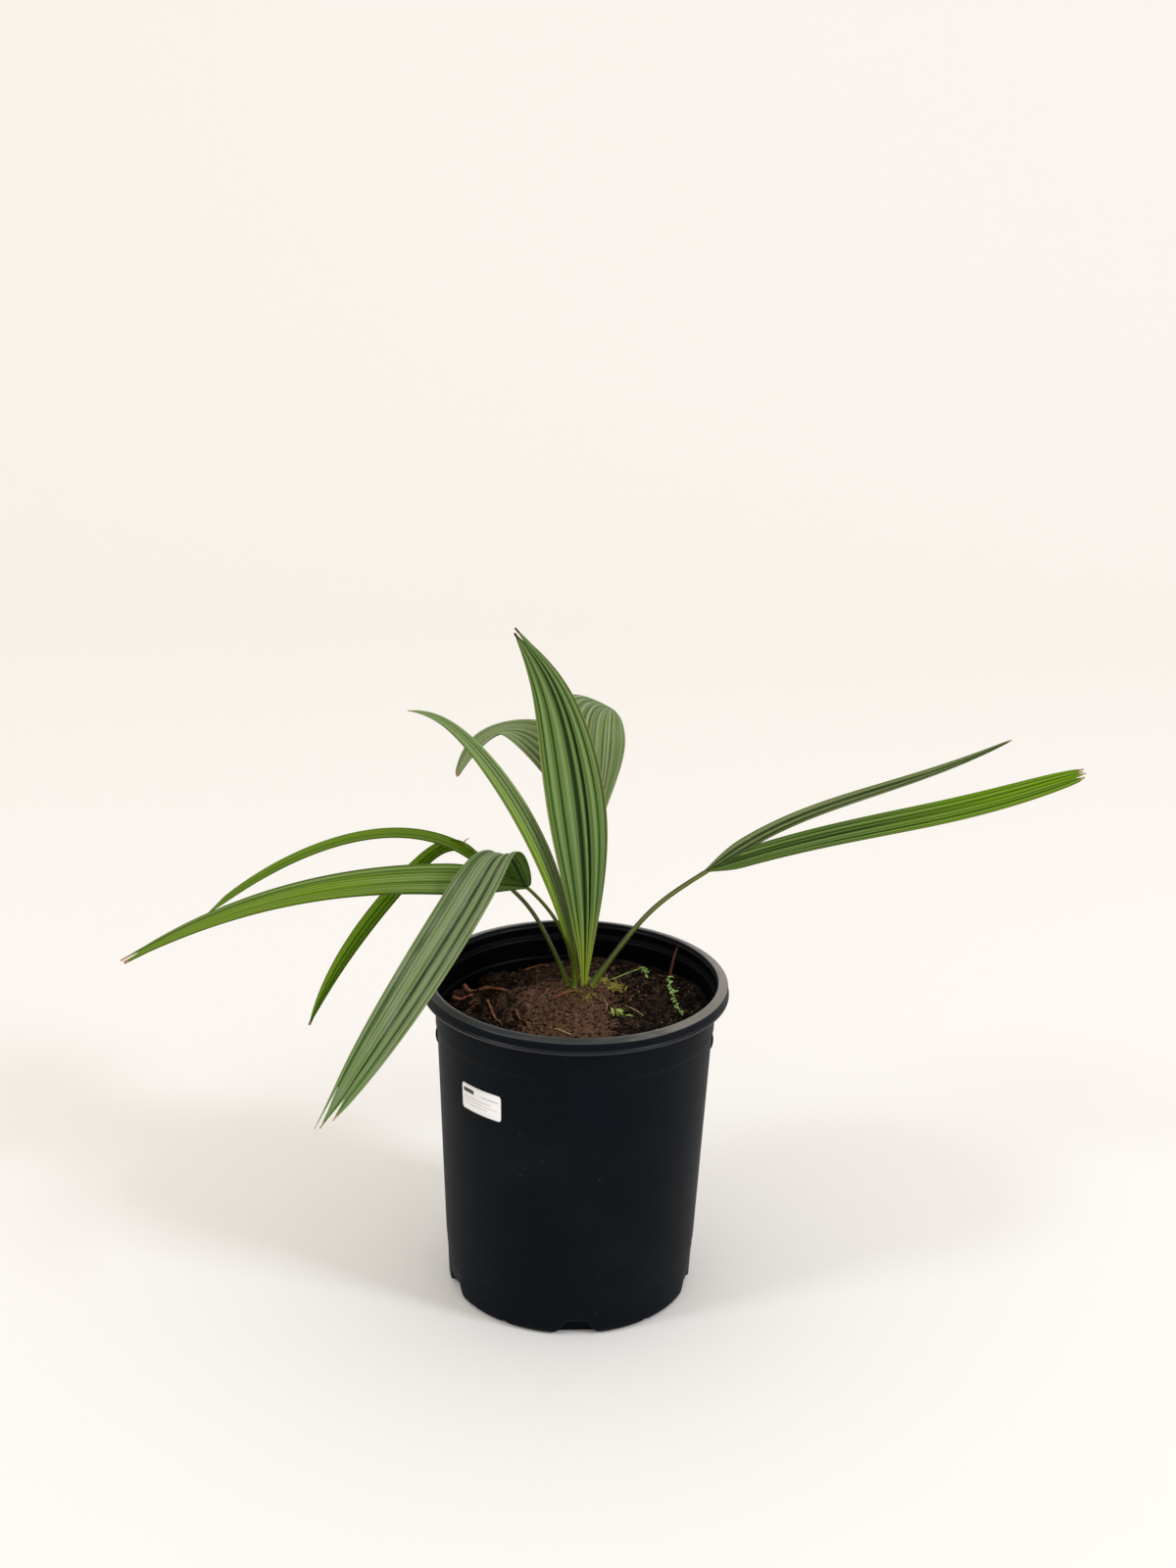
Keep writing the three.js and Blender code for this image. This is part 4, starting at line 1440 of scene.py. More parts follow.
    def cutter(self, turn: float, notch: Notch) -> bpy.types.Object:
        """A wedge that cuts a notch into the foot, with a bevel at the outside of the wall.

        Args:
            turn: the notch's place round the axis, in degrees.
            notch: its opening.

        Returns:
            The wedge, whose bevel is marked for a painted highlight line and wear.
        """
        bend = self.foot_radius - self.bevel_depth
        stations = (
            (self.inner_foot + self.notch_back, 0.0), (bend, 0.0),
            (self.foot_radius + self.bevel_reach, self.bevel),
        )
        rings = [[(radius, side, z) for side, z in notch.opening(flare)] for radius, flare in stations]
        mesh = tube(np.array(rings, float))
        cos, sin = math.cos(math.radians(turn)), math.sin(math.radians(turn))
        spin = np.array([[cos, sin, 0], [-sin, cos, 0], [0, 0, 1]])
        data = bpy.data.meshes.new("notch_cutter")
        faces = [corners.tolist() for face in mesh.faces for corners in face]
        data.from_pydata((mesh.points @ spin * MM).tolist(), [], faces)
        # The bevel's painted highlight line, which also shows wear.
        wear_and_highlight = smooth(bend - 0.1, bend + 0.1, mesh.points[:, 0]) * self.bevel_shine_and_wear
        data.attributes.new("edge", "FLOAT", "POINT").data.foreach_set("value", wear_and_highlight.astype(np.float32))
        return placed("notch_cutter", data)

    def build(self, shop: Workshop) -> None:
        """Makes the pot with its notches and its two small lugs.

        Args:
            shop: where the pieces are made.
        """
        plastic = PotFinish().material()
        pot = shop.piece("nursery_pot", self.turned(), plastic, ["pot"])
        spacing = 360 / self.notches
        cutters = []
        for i in range(self.notches):
            turn = self.notch_turn + spacing * i
            cutters += [self.cutter(turn, self.notch), self.cutter(turn + spacing / 2, self.nick)]
        for cutter in cutters:
            cut = pot.modifiers.new("notch", "BOOLEAN")
            cut.operation, cut.object, cut.solver = "DIFFERENCE", cutter, "EXACT"
        whole = bpy.data.meshes.new_from_object(pot.evaluated_get(bpy.context.evaluated_depsgraph_get()))
        pot.modifiers.clear()
        pot.data = whole
        for cutter in cutters:
            bpy.data.objects.remove(cutter)
        LOG.info("nursery_pot with notches: %d faces", len(whole.polygons))
        self.lugs(shop, plastic)

    def lugs(self, shop: Workshop, plastic: bpy.types.Material) -> None:
        """Makes the two lens-shaped lugs under the neck.

        Args:
            shop: where the piece is made.
            plastic: the pot's finish.
        """
        parts = []
        share, angle = np.linspace(0, 1, 14), circle(12)
        height = lerp(self.lug_bottom, self.lug_top, share)
        swell = (np.sin(np.pi * share) ** 0.6)[:, None]
        radius = np.array([self.outside(z) for z in height])
        for turn in np.radians(self.lug_turns):
            out = np.array([math.cos(turn), math.sin(turn), 0])
            side = np.array([-math.sin(turn), math.cos(turn), 0])
            centre = out * radius[:, None] + np.array([0, 0, 1]) * height[:, None]
            ring = centre[:, None] + out * (np.cos(angle) * swell * self.lug_proud)[..., None]
            ring = ring + side * (np.sin(angle) * (self.lug_edge + self.lug_swell * swell))[..., None]
            parts.append(tube(ring, {name: np.zeros(ring.shape[:2]) for name in ("edge", "top", "inner")}))
        shop.heap("pot_lugs", parts, plastic)


def lattice(seed: int, size: int = 64) -> Array:
    """A repeating square of random heights between -1 and 1."""
    return np.random.default_rng(seed).uniform(-1, 1, (size, size))


def lumps(x: Array, y: Array, scale: float, seed: int) -> Array:
    """Soft repeatable lumps between about -1 and 1.

    Args:
        x: places across.
        y: places along.
        scale: width of a lump.
        seed: which lumps.

    Returns:
        The height at each place.
    """
    heights = lattice(seed)
    size = len(heights)
    left, low = np.floor(x / scale).astype(int), np.floor(y / scale).astype(int)
    across, up = smooth(0, 1, x / scale - left), smooth(0, 1, y / scale - low)
    near = lerp(heights[left % size, low % size], heights[(left + 1) % size, low % size], across)
    far = lerp(heights[left % size, (low + 1) % size], heights[(left + 1) % size, (low + 1) % size], across)
    return lerp(near, far, up)


@dataclass(frozen=True)
class PottingSoil:
    """The soil: a bed that slopes a little and rises to the plant, with crumbs and grit on it."""

    pot: NurseryPot
    level: float = 211.0
    tilt: float = 0.08
    mound: float = 13.0
    spread: float = 36.0
    crown_x: float = 4.0
    crown_y: float = 20.0
    gap: float = 0.35
    rings: int = 170
    spokes: int = 420
    highest: float = 224.5
    reach: float = 93.0
    bare: float = 9.0
    rough: float = 5.6
    even: float = 1.3
    rough_side: tuple[float, float] = (-52.0, -8.0)
    calm_stem: tuple[float, float] = (12.0, 30.0)
    clods: tuple[tuple[float, float, int], ...] = ((13, 1.0, 3), (6, 0.55, 4))
    grit: tuple[tuple[float, float, int], ...] = ((2.6, 0.55, 5), (1.3, 0.35, 6))
    # These two set the mask for the painted shade in the hollows.
    tone_height: float = 8.0
    tone_level: float = 0.35
    crowding: float = 0.9
    wall_heights: tuple[float, ...] = (200.0, 150.0, 100.0)
    crumb_fineness: float = 2.5
    crumb_dents: float = 0.35
    crumb_length: tuple[float, float] = (0.7, 1.7)
    crumb_lift: float = 0.35

    def height(self, x: Array, y: Array) -> Array:
        """The height of the soil's surface at a place.

        Args:
            x: places across.
            y: places along.

        Returns:
            The heights.
        """
        away = np.hypot(x - self.crown_x, y - self.crown_y)
        open_level = self.level + self.tilt * x + self.mound * np.exp(-((away / self.spread) ** 2) / 2)
        coarse = lerp(self.rough, self.even, smooth(*self.rough_side, x)) * smooth(*self.calm_stem, away)
        relief = sum(share * coarse * lumps(x, y, width, seed) for width, share, seed in self.clods)
        fine = sum(share * lumps(x, y, width, seed) for width, share, seed in self.grit)
        return np.minimum(open_level + relief, self.highest) + fine

    def bed(self) -> Mesh:
        """The soil's body: its rough surface, its wall and its floor.

        Returns:
            The closed body.
        """
        angle = circle(self.spokes)
        share = np.linspace(0.004, 1, self.rings) ** self.crowding
        edge = self.pot.inside(self.level) - self.gap
        x, y = np.outer(share * edge, np.cos(angle)), np.outer(share * edge, np.sin(angle))
        z = self.height(x, y)
        base = self.level + self.tilt * x
        # 1 on lumps and 0 in hollows: the mask for the painted shade in the hollows.
        high = np.clip((z - base) / self.tone_height + self.tone_level, 0, 1)
        top = np.stack([x, y, z], -1)[::-1]
        heights = [*self.wall_heights, self.pot.skirt_height]
        radii = [self.pot.inside(h) - self.gap for h in heights]
        dome, floor = self.pot.floor_height + self.gap, self.pot.floor + self.gap
        lower = [(self.pot.inner_foot + self.pot.wall - self.gap, dome),
                 (self.pot.pad_radius + self.pot.pad_rise - self.gap, dome),
                 (self.pot.pad_radius - self.gap, floor), (1.0, floor)]
        wall = [np.stack([np.cos(angle) * r, np.sin(angle) * r, np.full(self.spokes, h)], -1)
                for r, h in [*zip(radii, heights), *lower]]
        rings = np.concatenate([np.array(wall[::-1]), top])
        tone = np.concatenate([np.zeros((len(wall), self.spokes)), high[::-1]])
        return tube(rings, {"ridge": tone})

    def scattered(self, count: int, seed: int, left: float = -reach, right: float = reach,
                  far: float = reach) -> tuple[Array, Array, np.random.Generator]:
        """Places on the soil's surface, away from the stem.

        Args:
            count: how many are tried.
            seed: which draw.
            left: the left side of where they lie.
            right: the right side of it.
            far: the far side of it.

        Returns:
            The places across and along, and the draw for what comes next.
        """
        rng = np.random.default_rng(seed)
        radius, angle = self.reach * np.sqrt(rng.uniform(0, 1, count)), rng.uniform(0, 2 * np.pi, count)
        x, y = radius * np.cos(angle), radius * np.sin(angle)
        away = np.hypot(x - self.crown_x, y - self.crown_y)
        keep = (away > self.bare) & (x > left) & (x < right) & (y < far)
        return x[keep], y[keep], rng

    def crumbs(self, count: int, seed: int, small: float, large: float, left: float, right: float,
               far: float, flat: float = 0.8) -> Mesh:
        """Many small uneven grains that lie on the soil, as one mesh.

        Args:
            count: how many are tried.
            seed: which draw.
            small: the least radius.
            large: the greatest radius.
            left: the left side of where they lie.
            right: the right side of it.
            far: the far side of it.
            flat: the height of a grain as a share of its width.

        Returns:
            The joined grains.
        """
        x, y, rng = self.scattered(count, seed, left, right, far)
        points, faces = grain_shape()
        size = lerp(small, large, rng.uniform(0, 1, len(x)) ** self.crumb_fineness)
        shape = points[None] * (1 + self.crumb_dents * rng.uniform(-1, 1, (len(x), len(points), 1)))
        spin = rng.uniform(0, 2 * np.pi, len(x))
        long = rng.uniform(*self.crumb_length, len(x))
        turned = np.stack([
            (shape[..., 0] * np.cos(spin)[:, None] - shape[..., 1] * np.sin(spin)[:, None]) * long[:, None],
            shape[..., 0] * np.sin(spin)[:, None] + shape[..., 1] * np.cos(spin)[:, None],
            shape[..., 2] * flat], -1) * size[:, None, None]
        place = np.stack([x, y, self.height(x, y) + size * flat * self.crumb_lift], -1)
        everything = (turned + place[:, None]).reshape(-1, 3)
        numbers = (faces[None] + (np.arange(len(x)) * len(points))[:, None, None]).reshape(-1, 3)
        return Mesh(everything, [numbers])

    def build(self, shop: Workshop) -> None:
        """Makes the bed and the loose grains.

        Args:
            shop: where the pieces are made.
        """
        shop.piece("soil_bed", self.bed(), SoilFinish().material(), ["soil"])
        rim = self.reach
        # Darker crumbs at the left, the right and the back and lighter ones in the middle; the near-black
        # ones at the right are painted shadow of the pot's wall.
        grains = [
            ("soil_left_crumbs", 5200, 21, 0.4, 1.9, -rim, -34, rim, shade(18, 12, 8), shade(38, 26, 19)),
            ("soil_middle_crumbs", 5200, 22, 0.3, 1.1, -44, 30, 42, shade(130, 98, 76), shade(66, 48, 37)),
            ("soil_black_crumbs", 5600, 26, 0.25, 1.0, -44, 40, rim, shade(24, 16, 11), shade(44, 31, 23)),
            ("soil_right_crumbs", 6500, 24, 0.35, 1.5, 24, rim, rim, shade(5, 4, 3), shade(18, 14, 10)),
            ("soil_brown_crumbs", 700, 25, 0.3, 1.2, -rim, 40, 60, shade(104, 72, 52), shade(70, 48, 35)),
            ("soil_pale_grit", 900, 23, 0.2, 0.6, -rim, rim, rim, shade(178, 150, 122), shade(122, 96, 74)),
        ]
        for name, count, seed, small, large, left, right, far, colour, second in grains:
            finish = PlainFinish(f"{name}_skin", colour, second, 0.9, 350.0, gloss=0.1)
            grain = self.crumbs(count, seed, small, large, left, right, far)
            shop.piece(name, grain, finish.material(), flat_shaded=True)


def grain_shape() -> tuple[Array, Array]:
    """The corners and faces of a regular grain with twenty sides.

    Returns:
        The corners and the triangles.
    """
    golden = (1 + math.sqrt(5)) / 2
    corners = []
    for one in (-1, 1):
        for two in (-golden, golden):
            corners += [(0, one, two), (one, two, 0), (two, 0, one)]
    points = np.array(corners, float)
    points /= np.linalg.norm(points[0])
    faces = []
    near = 1.1
    for a in range(12):
        for b in range(a + 1, 12):
            for c in range(b + 1, 12):
                trio = points[[a, b, c]]
                spans = [np.linalg.norm(trio[i] - trio[(i + 1) % 3]) for i in range(3)]
                if max(spans) < near:
                    out = np.cross(trio[1] - trio[0], trio[2] - trio[0]) @ trio.sum(0) > 0
                    faces.append((a, b, c) if out else (a, c, b))
    return points, np.array(faces)


def strand(path: Array, radius: Array | float, sides: int = 5, steps: int = 12, order: int = 3) -> Mesh:
    """A round strand along a smooth line through a few points.

    Args:
        path: the points, in order.
        radius: the radius at each step, or one for all.
        sides: sides of the section.
        steps: rings along the strand.
        order: how closely the line follows the points.

    Returns:
        The closed strand.
    """
    path = np.asarray(path, float)
    knots = np.linspace(0, 1, len(path))
    share = np.linspace(0, 1, steps)
    degree = min(order, len(path) - 1)
    centre = np.stack([np.polyval(np.polyfit(knots, path[:, i], degree), share) for i in range(3)], -1)
    tangent = np.gradient(centre, axis=0)
    tangent /= np.linalg.norm(tangent, axis=1, keepdims=True)
    other = np.where(np.abs(tangent[:, 2:]) < 0.9, [[0.0, 0.0, 1.0]], [[1.0, 0.0, 0.0]])
    side = np.cross(tangent, other)
    side /= np.linalg.norm(side, axis=1, keepdims=True)
    up = np.cross(side, tangent)
    angle = circle(sides)[:, None]
    width = np.broadcast_to(np.asarray(radius, float), steps)[:, None, None]
    return tube(centre[:, None] + width * (side[:, None] * np.cos(angle) - up[:, None] * np.sin(angle)))


def leaflet(foot: Array, heading: float, rise: float, length: float, width: float, sag: float = -45.0,
            fullness: float = 0.8, tip: float = 0.06, crease: float = 0.45, thickness: float = 0.16) -> Mesh:
    """A tiny pointed leaf, creased along its middle.

    Args:
        foot: where it starts.
        heading: the way it points, in degrees.
        rise: how steeply it rises, in degrees.
        length: its length.
        width: its greatest width.
        sag: how far it bends on the way, in degrees.
        fullness: how soon it widens; less is sooner.
        tip: its width at the ends, as a share.
        crease: how far its edges rise, as a share of half its width.
        thickness: how thick it is.

    Returns:
        The thin closed leaf.
    """
    limb = Limb(heading, rise, length, sag=sag)
    share, across = np.linspace(0, 1, 9), np.linspace(-1, 1, 5)
    _, side, face = limb.axes(share)
    half = width / 2 * np.maximum(tip, np.sin(np.pi * share ** fullness) ** fullness)
    points = limb.line(foot, share)[:, None] + side[:, None] * (across * half[:, None])[..., None]
    points = points + face[:, None] * (np.abs(across) * half[:, None] * crease)[..., None]
    return thicken(Mesh(points.reshape(-1, 3), [grid(len(share), len(across))]), thickness)


@dataclass(frozen=True)
class SoilCover:
    """What lies and grows on the soil: roots, fibres, straw, a dry stem, moss and three tiny seedlings."""

    soil: PottingSoil
    reach: float = 94.0
    bare: float = 6.0
    root_taper: float = 0.5
    root_knots: float = 0.25
    root_lift: tuple[float, float] = (1.2, 0.9)
    moss_spread: float = 0.55

    def lying(self, places: Sequence[tuple[float, float]], lifts: Sequence[float] | float = 0.4) -> Array:
        """Points just above the soil at the given places.

        Args:
            places: places across and along.
            lifts: how far above the soil they lie.

        Returns:
            The points.
        """
        spots = np.array(places, float)
        height = self.soil.height(spots[:, 0], spots[:, 1]) + np.asarray(lifts)
        return np.column_stack([spots, height])

    def roots(self, shop: Workshop) -> None:
        """Makes the reddish-brown surface roots.

        Args:
            shop: where the pieces are made.
        """
        routes = [
            ([(-83, 42), (-71, 47), (-60, 46), (-49, 41), (-38, 38)], 1.7),
            ([(-90, 27), (-83, 27), (-75, 28)], 1.5),
            ([(-64, 16), (-59, -1), (-52, -17)], 1.0),
            ([(-43, 4), (-38, -14), (-32, -31)], 0.9),
            ([(-39, 84), (-30, 83), (-21, 76)], 1.0),
            ([(-16, 7), (-7, 9), (1, 12)], 1.1),
            ([(-33, -56), (-27, -52), (-22, -57)], 0.6),
            ([(-83, 10), (-76, 16), (-70, 15)], 0.6),
            ([(-78, 21), (-72, 27), (-66, 25)], 0.5),
            ([(-28, 12), (-22, 18), (-20, 26)], 0.5),
        ]
        parts = []
        for number, (route, radius) in enumerate(routes):
            share = np.linspace(0, 1, 18)
            wobble = 1 + self.root_knots * np.sin(share * 23 + number)
            thin = radius * (1 - self.root_taper * share) * wobble
            knots = np.linspace(0, 1, len(route))
            fits = [np.polyfit(knots, values, min(3, len(route) - 1)) for values in zip(*route)]
            spots = np.stack([np.polyval(fit, share) for fit in fits], -1)
            path = self.lying(spots, radius * self.root_lift[0] + self.root_lift[1])
            parts.append(strand(path, thin, 8, 18, 6))
        finish = PlainFinish("root_skin", shade(150, 92, 58), shade(98, 58, 38), 0.7, 500.0, 0.5)
        shop.heap("surface_roots", parts, finish.material())

    def fibres(self, shop: Workshop) -> None:
        """Makes the fine rootlets and bark fibres scattered over the soil.

        Args:
            shop: where the pieces are made.
        """
        x, y, rng = self.soil.scattered(420, 31)
        parts = []
        for i in range(len(x)):
            turn, length = rng.uniform(0, 2 * np.pi), rng.uniform(2.5, 9)
            curl = rng.uniform(-0.8, 0.8)
            steps = np.linspace(-0.5, 0.5, 4) * length
            turns = [turn + curl * step / length for step in steps]
            route = [(x[i] + step * math.cos(a), y[i] + step * math.sin(a)) for step, a in zip(steps, turns)]
            if max(math.hypot(*spot) for spot in route) < self.reach:
                path = self.lying(route, rng.uniform(0.1, 0.9, 4))
                parts.append(strand(path, rng.uniform(0.1, 0.26), 4, 5))
        finish = PlainFinish("fibre_skin", shade(128, 88, 62), shade(84, 56, 40), 0.8, 300.0)
        shop.heap("soil_fibres", parts, finish.material())

    def straw(self, shop: Workshop) -> None:
        """Makes the pale straws that lie in front and the dry stalk that stands at the right.

        Args:
            shop: where the pieces are made.
        """
        parts = [
            strand(self.lying([(-18, -30), (-10, -34), (-3, -41)], 0.7), 0.6, 6, 10),
            strand(self.lying([(36, -4), (43, -9), (49, -16)], 0.6), 0.35, 6, 8),
            strand(self.lying([(20, 2), (23, -6), (22, -12)], 0.6), 0.3, 6, 8),
        ]
        finish = PlainFinish("straw_skin", shade(196, 172, 120), shade(150, 122, 80), 0.7, 260.0)
        shop.heap("straws", parts, finish.material())
        foot = self.lying([(68, 42)])[0]
        lean = np.array([[0, 0, -1], [2, 2, 9], [4, 4, 19], [7, 6, 28]])
        stem = strand(foot + lean, np.linspace(1.15, 0.8, 14), 7, 14)
        dry = PlainFinish("dry_stem_skin", shade(92, 52, 34), shade(62, 36, 26), 0.75, 400.0)
        shop.piece("dry_stem", stem, dry.material())

    def moss(self, shop: Workshop) -> None:
        """Makes the yellow-green moss beside the stem.

        Args:
            shop: where the pieces are made.
        """
        rng = np.random.default_rng(41)
        parts = []
        cushions = (((29, 22), 7, 150), ((20, 35), 6, 70), ((10, 4), 5, 40), ((-6, 13), 3, 24))
        for middle, reach, count in cushions:
            for spot in rng.normal(0, reach * self.moss_spread, (count, 2)) + middle:
                if math.hypot(spot[0] - self.soil.crown_x, spot[1] - self.soil.crown_y) < self.bare:
                    continue
                foot = self.lying([tuple(spot)], 0.0)[0]
                turn, rise = rng.uniform(0, 360), rng.uniform(25, 85)
                parts.append(leaflet(foot, turn, rise, rng.uniform(1.2, 3.4), rng.uniform(0.4, 0.9)))
        finish = PlainFinish("moss_skin", shade(186, 176, 76), shade(124, 122, 44), 0.7, 200.0)
        shop.heap("moss", parts, finish.material())

    def seedlings(self, shop: Workshop) -> None:
        """Makes the three tiny seedlings: a leaning sprig, a creeping one and a tuft.

        Args:
            shop: where the pieces are made.
        """
        rng = np.random.default_rng(42)
        stems, leaves = [], []
        sprig = self.lying([(27, 38), (39, 50), (50, 60)], [0.5, 3.5, 6.0])
        drop = self.lying([(50, 60), (52, 56), (52, 50)], [6.0, 4.5, 0.5])
        creeper = self.lying([(68, 42), (71, 18), (77, -11)], [6.0, 3.0, 1.0])
        for route in (sprig, drop, creeper):
            stems.append(strand(route, 0.42, 6, 14))
        for route, count, size in ((drop, 9, 4.4), (creeper, 17, 4.8)):
            for i in range(count):
                share = (i + 0.5) / count * (len(route) - 1)
                low = int(share)
                foot = lerp(route[low], route[min(low + 1, len(route) - 1)], share - low)
                turn, rise = rng.uniform(0, 360), rng.uniform(5, 60)
                leaves.append(leaflet(foot, turn, rise, size * rng.uniform(0.7, 1.2), size * 0.5))
        tufts = []
        tuft = self.lying([(31, -17)], 0.0)[0]
        for turn in range(0, 360, 33):
            spot = tuft + np.array([rng.normal(0, 2.4), rng.normal(0, 2.4), 0.3])
            tufts.append(leaflet(spot, turn, rng.uniform(35, 85), rng.uniform(5, 9), rng.uniform(2.0, 3.2)))
        # These greens are lighter than the plants' own: painted light, which makes up for the shade of the
        # pot's wall on them.
        lime = PlainFinish("tuft_skin", shade(176, 196, 92), shade(132, 158, 62), 0.5, 200.0, 0.1)
        shop.heap("seedling_tuft", tufts, lime.material())
        green = PlainFinish("seedling_skin", shade(150, 182, 100), shade(112, 146, 70), 0.5, 200.0, 0.1)
        shop.heap("seedling_leaves", leaves, green.material())
        shop.heap("seedling_stems", stems, green.material())

    def build(self, shop: Workshop) -> None:
        """Makes everything on the soil.

        Args:
            shop: where the pieces are made.
        """
        self.roots(shop)
        self.fibres(shop)
        self.straw(shop)
        self.moss(shop)
        self.seedlings(shop)


@dataclass(frozen=True)
class ShortStem:
    """The short stem at soil level, wrapped in pale leaf bases and brown fibres."""

    x: float = 4.0
    y: float = 20.0
    bottom: float = 222.4
    radius: float = 11.0
    neck: float = 8.5
    top: float = 225.8
    scales: int = 13
    hairs: int = 46
    hair_radius: float = 0.14
    ribs: int = 7
    rib_depth: float = 0.07

    def build(self, shop: Workshop) -> None:
        """Makes the stub, its scales and its fibres.

        Args:
            shop: where the pieces are made.
        """
        rng = np.random.default_rng(51)
        share = np.linspace(0, 1, 8)
        angle = circle(40)
        radius = lerp(self.radius, self.neck, share ** 1.5)[:, None]
        radius = radius * (1 + self.rib_depth * np.sin(angle * self.ribs + 1))
        ring = np.stack([self.x + radius * np.cos(angle), self.y + radius * np.sin(angle),
                         np.broadcast_to(lerp(self.bottom, self.top, share)[:, None], radius.shape)], -1)
        brown = PlainFinish("stem_skin", shade(64, 44, 28), shade(104, 84, 44), 0.8, 420.0, 0.6)
        shop.piece("stem_stub", tube(ring), brown.material(), ["crown"])
        parts = []
        for i in range(self.scales):
            turn = 360 / self.scales * i + rng.uniform(-9, 9)
            spin = math.radians(turn)
            out = np.array([math.cos(spin), math.sin(spin), 0])
            foot = np.array([self.x, self.y, self.top - 3.4]) + out * (self.neck - rng.uniform(0.0, 2.5))
            parts.append(leaflet(foot, turn, rng.uniform(55, 85), rng.uniform(5, 10), rng.uniform(2.4, 4.2)))
        pale = PlainFinish("leaf_base_skin", shade(196, 192, 76), shade(150, 128, 58), 0.55, 260.0)
        shop.heap("leaf_bases", parts, pale.material())
        hairs = []
        for _ in range(self.hairs):
            turn = rng.uniform(0, 2 * np.pi)
            out = np.array([math.cos(turn), math.sin(turn), 0])
            start = np.array([self.x, self.y, self.top - 2]) + out * rng.uniform(5, 9)
            reach, lift = rng.uniform(2, 6), rng.uniform(1, 6)
            bend = start + out * reach * 0.4 + [0, 0, lift]
            end = start + out * reach + [0, 0, lift * 0.4]
            hairs.append(strand([start, bend, end], self.hair_radius, 4, 6))
        finish = PlainFinish("sheath_fibre_skin", shade(120, 88, 52), shade(84, 58, 36), 0.8, 300.0)
        shop.heap("sheath_fibres", hairs, finish.material())


@dataclass(frozen=True)
class WallLabel:
    """The small blank label on the wall, with a plain dark bar and thin grey rules."""

    pot: NurseryPot
    width: float = 37.0
    height: float = 20.0
    corner: float = 2.0
    turn: float = 228.9
    middle: float = 177.0
    lift: float = 0.35
    thickness: float = 0.25
    print_lift: float = 0.02
    print_thickness: float = 0.03

    def patch(self, left: float, right: float, low: float, high: float, corner: float, lift: float,
              thickness: float) -> Mesh:
        """A thin patch with round corners that follows the wall.

        Args:
            left: left side, from the label's middle.
            right: right side.
            low: lower side.
            high: upper side.
            corner: radius of its corners.
            lift: its distance from the wall.
            thickness: how thick it is.

        Returns:
            The closed patch.
        """
        columns, rows = 40, 9
        along = np.linspace(left, right, columns)
        inset = np.maximum(np.maximum(left + corner - along, along - right + corner), 0)
        cut = corner - np.sqrt(np.maximum(corner ** 2 - inset ** 2, 0))
        share = np.linspace(0, 1, rows)[:, None]
        z = self.middle + lerp(low + cut, high - cut, share)
        angle = np.radians(self.turn) + along / self.pot.outside(self.middle)
        radius = np.vectorize(self.pot.outside)(z) + lift
        points = np.stack([radius * np.cos(angle), radius * np.sin(angle), z], -1)
        return thicken(Mesh(points.reshape(-1, 3), [grid(rows, columns)]), thickness)

    def build(self, shop: Workshop) -> None:
        """Makes the paper and the marks printed on it.

        Args:
            shop: where the pieces are made.
        """
        wide, tall = self.width / 2, self.height / 2
        paper = PlainFinish("label_paper", shade(252, 251, 252), shade(249, 247, 249), 0.5, 120.0, 0.02)
        sheet = self.patch(-wide, wide, -tall, tall, self.corner, self.lift, self.thickness)
        shop.piece("wall_label", sheet, paper.material(), ["label"])
        ink = PlainFinish("label_dark_print", shade(64, 66, 64), shade(82, 84, 80), 0.6, 500.0, 0.02)
        over, thin = self.lift + self.thickness / 2 + self.print_lift, self.print_thickness
        bar = self.patch(-wide + 1.8, -wide + 12.5, tall - 6.4, tall - 3.2, 0.4, over, thin)
        shop.piece("label_bar", bar, ink.material())
        rules = [
            (1.5, wide - 2, tall - 5.6, 0.45), (-wide + 2, wide - 9, 0.2, 0.3),
            (-wide + 2, wide - 3, -2.4, 0.25), (-wide + 2, wide - 12, -5.0, 0.25),
        ]
        lines = [self.patch(left, right, at - half, at + half, 0.1, over, thin)
                 for left, right, at, half in rules]
        grey = PlainFinish("label_grey_print", shade(186, 186, 190), shade(206, 206, 208), 0.6, 500.0, 0.02)
        shop.heap("label_rules", lines, grey.material())


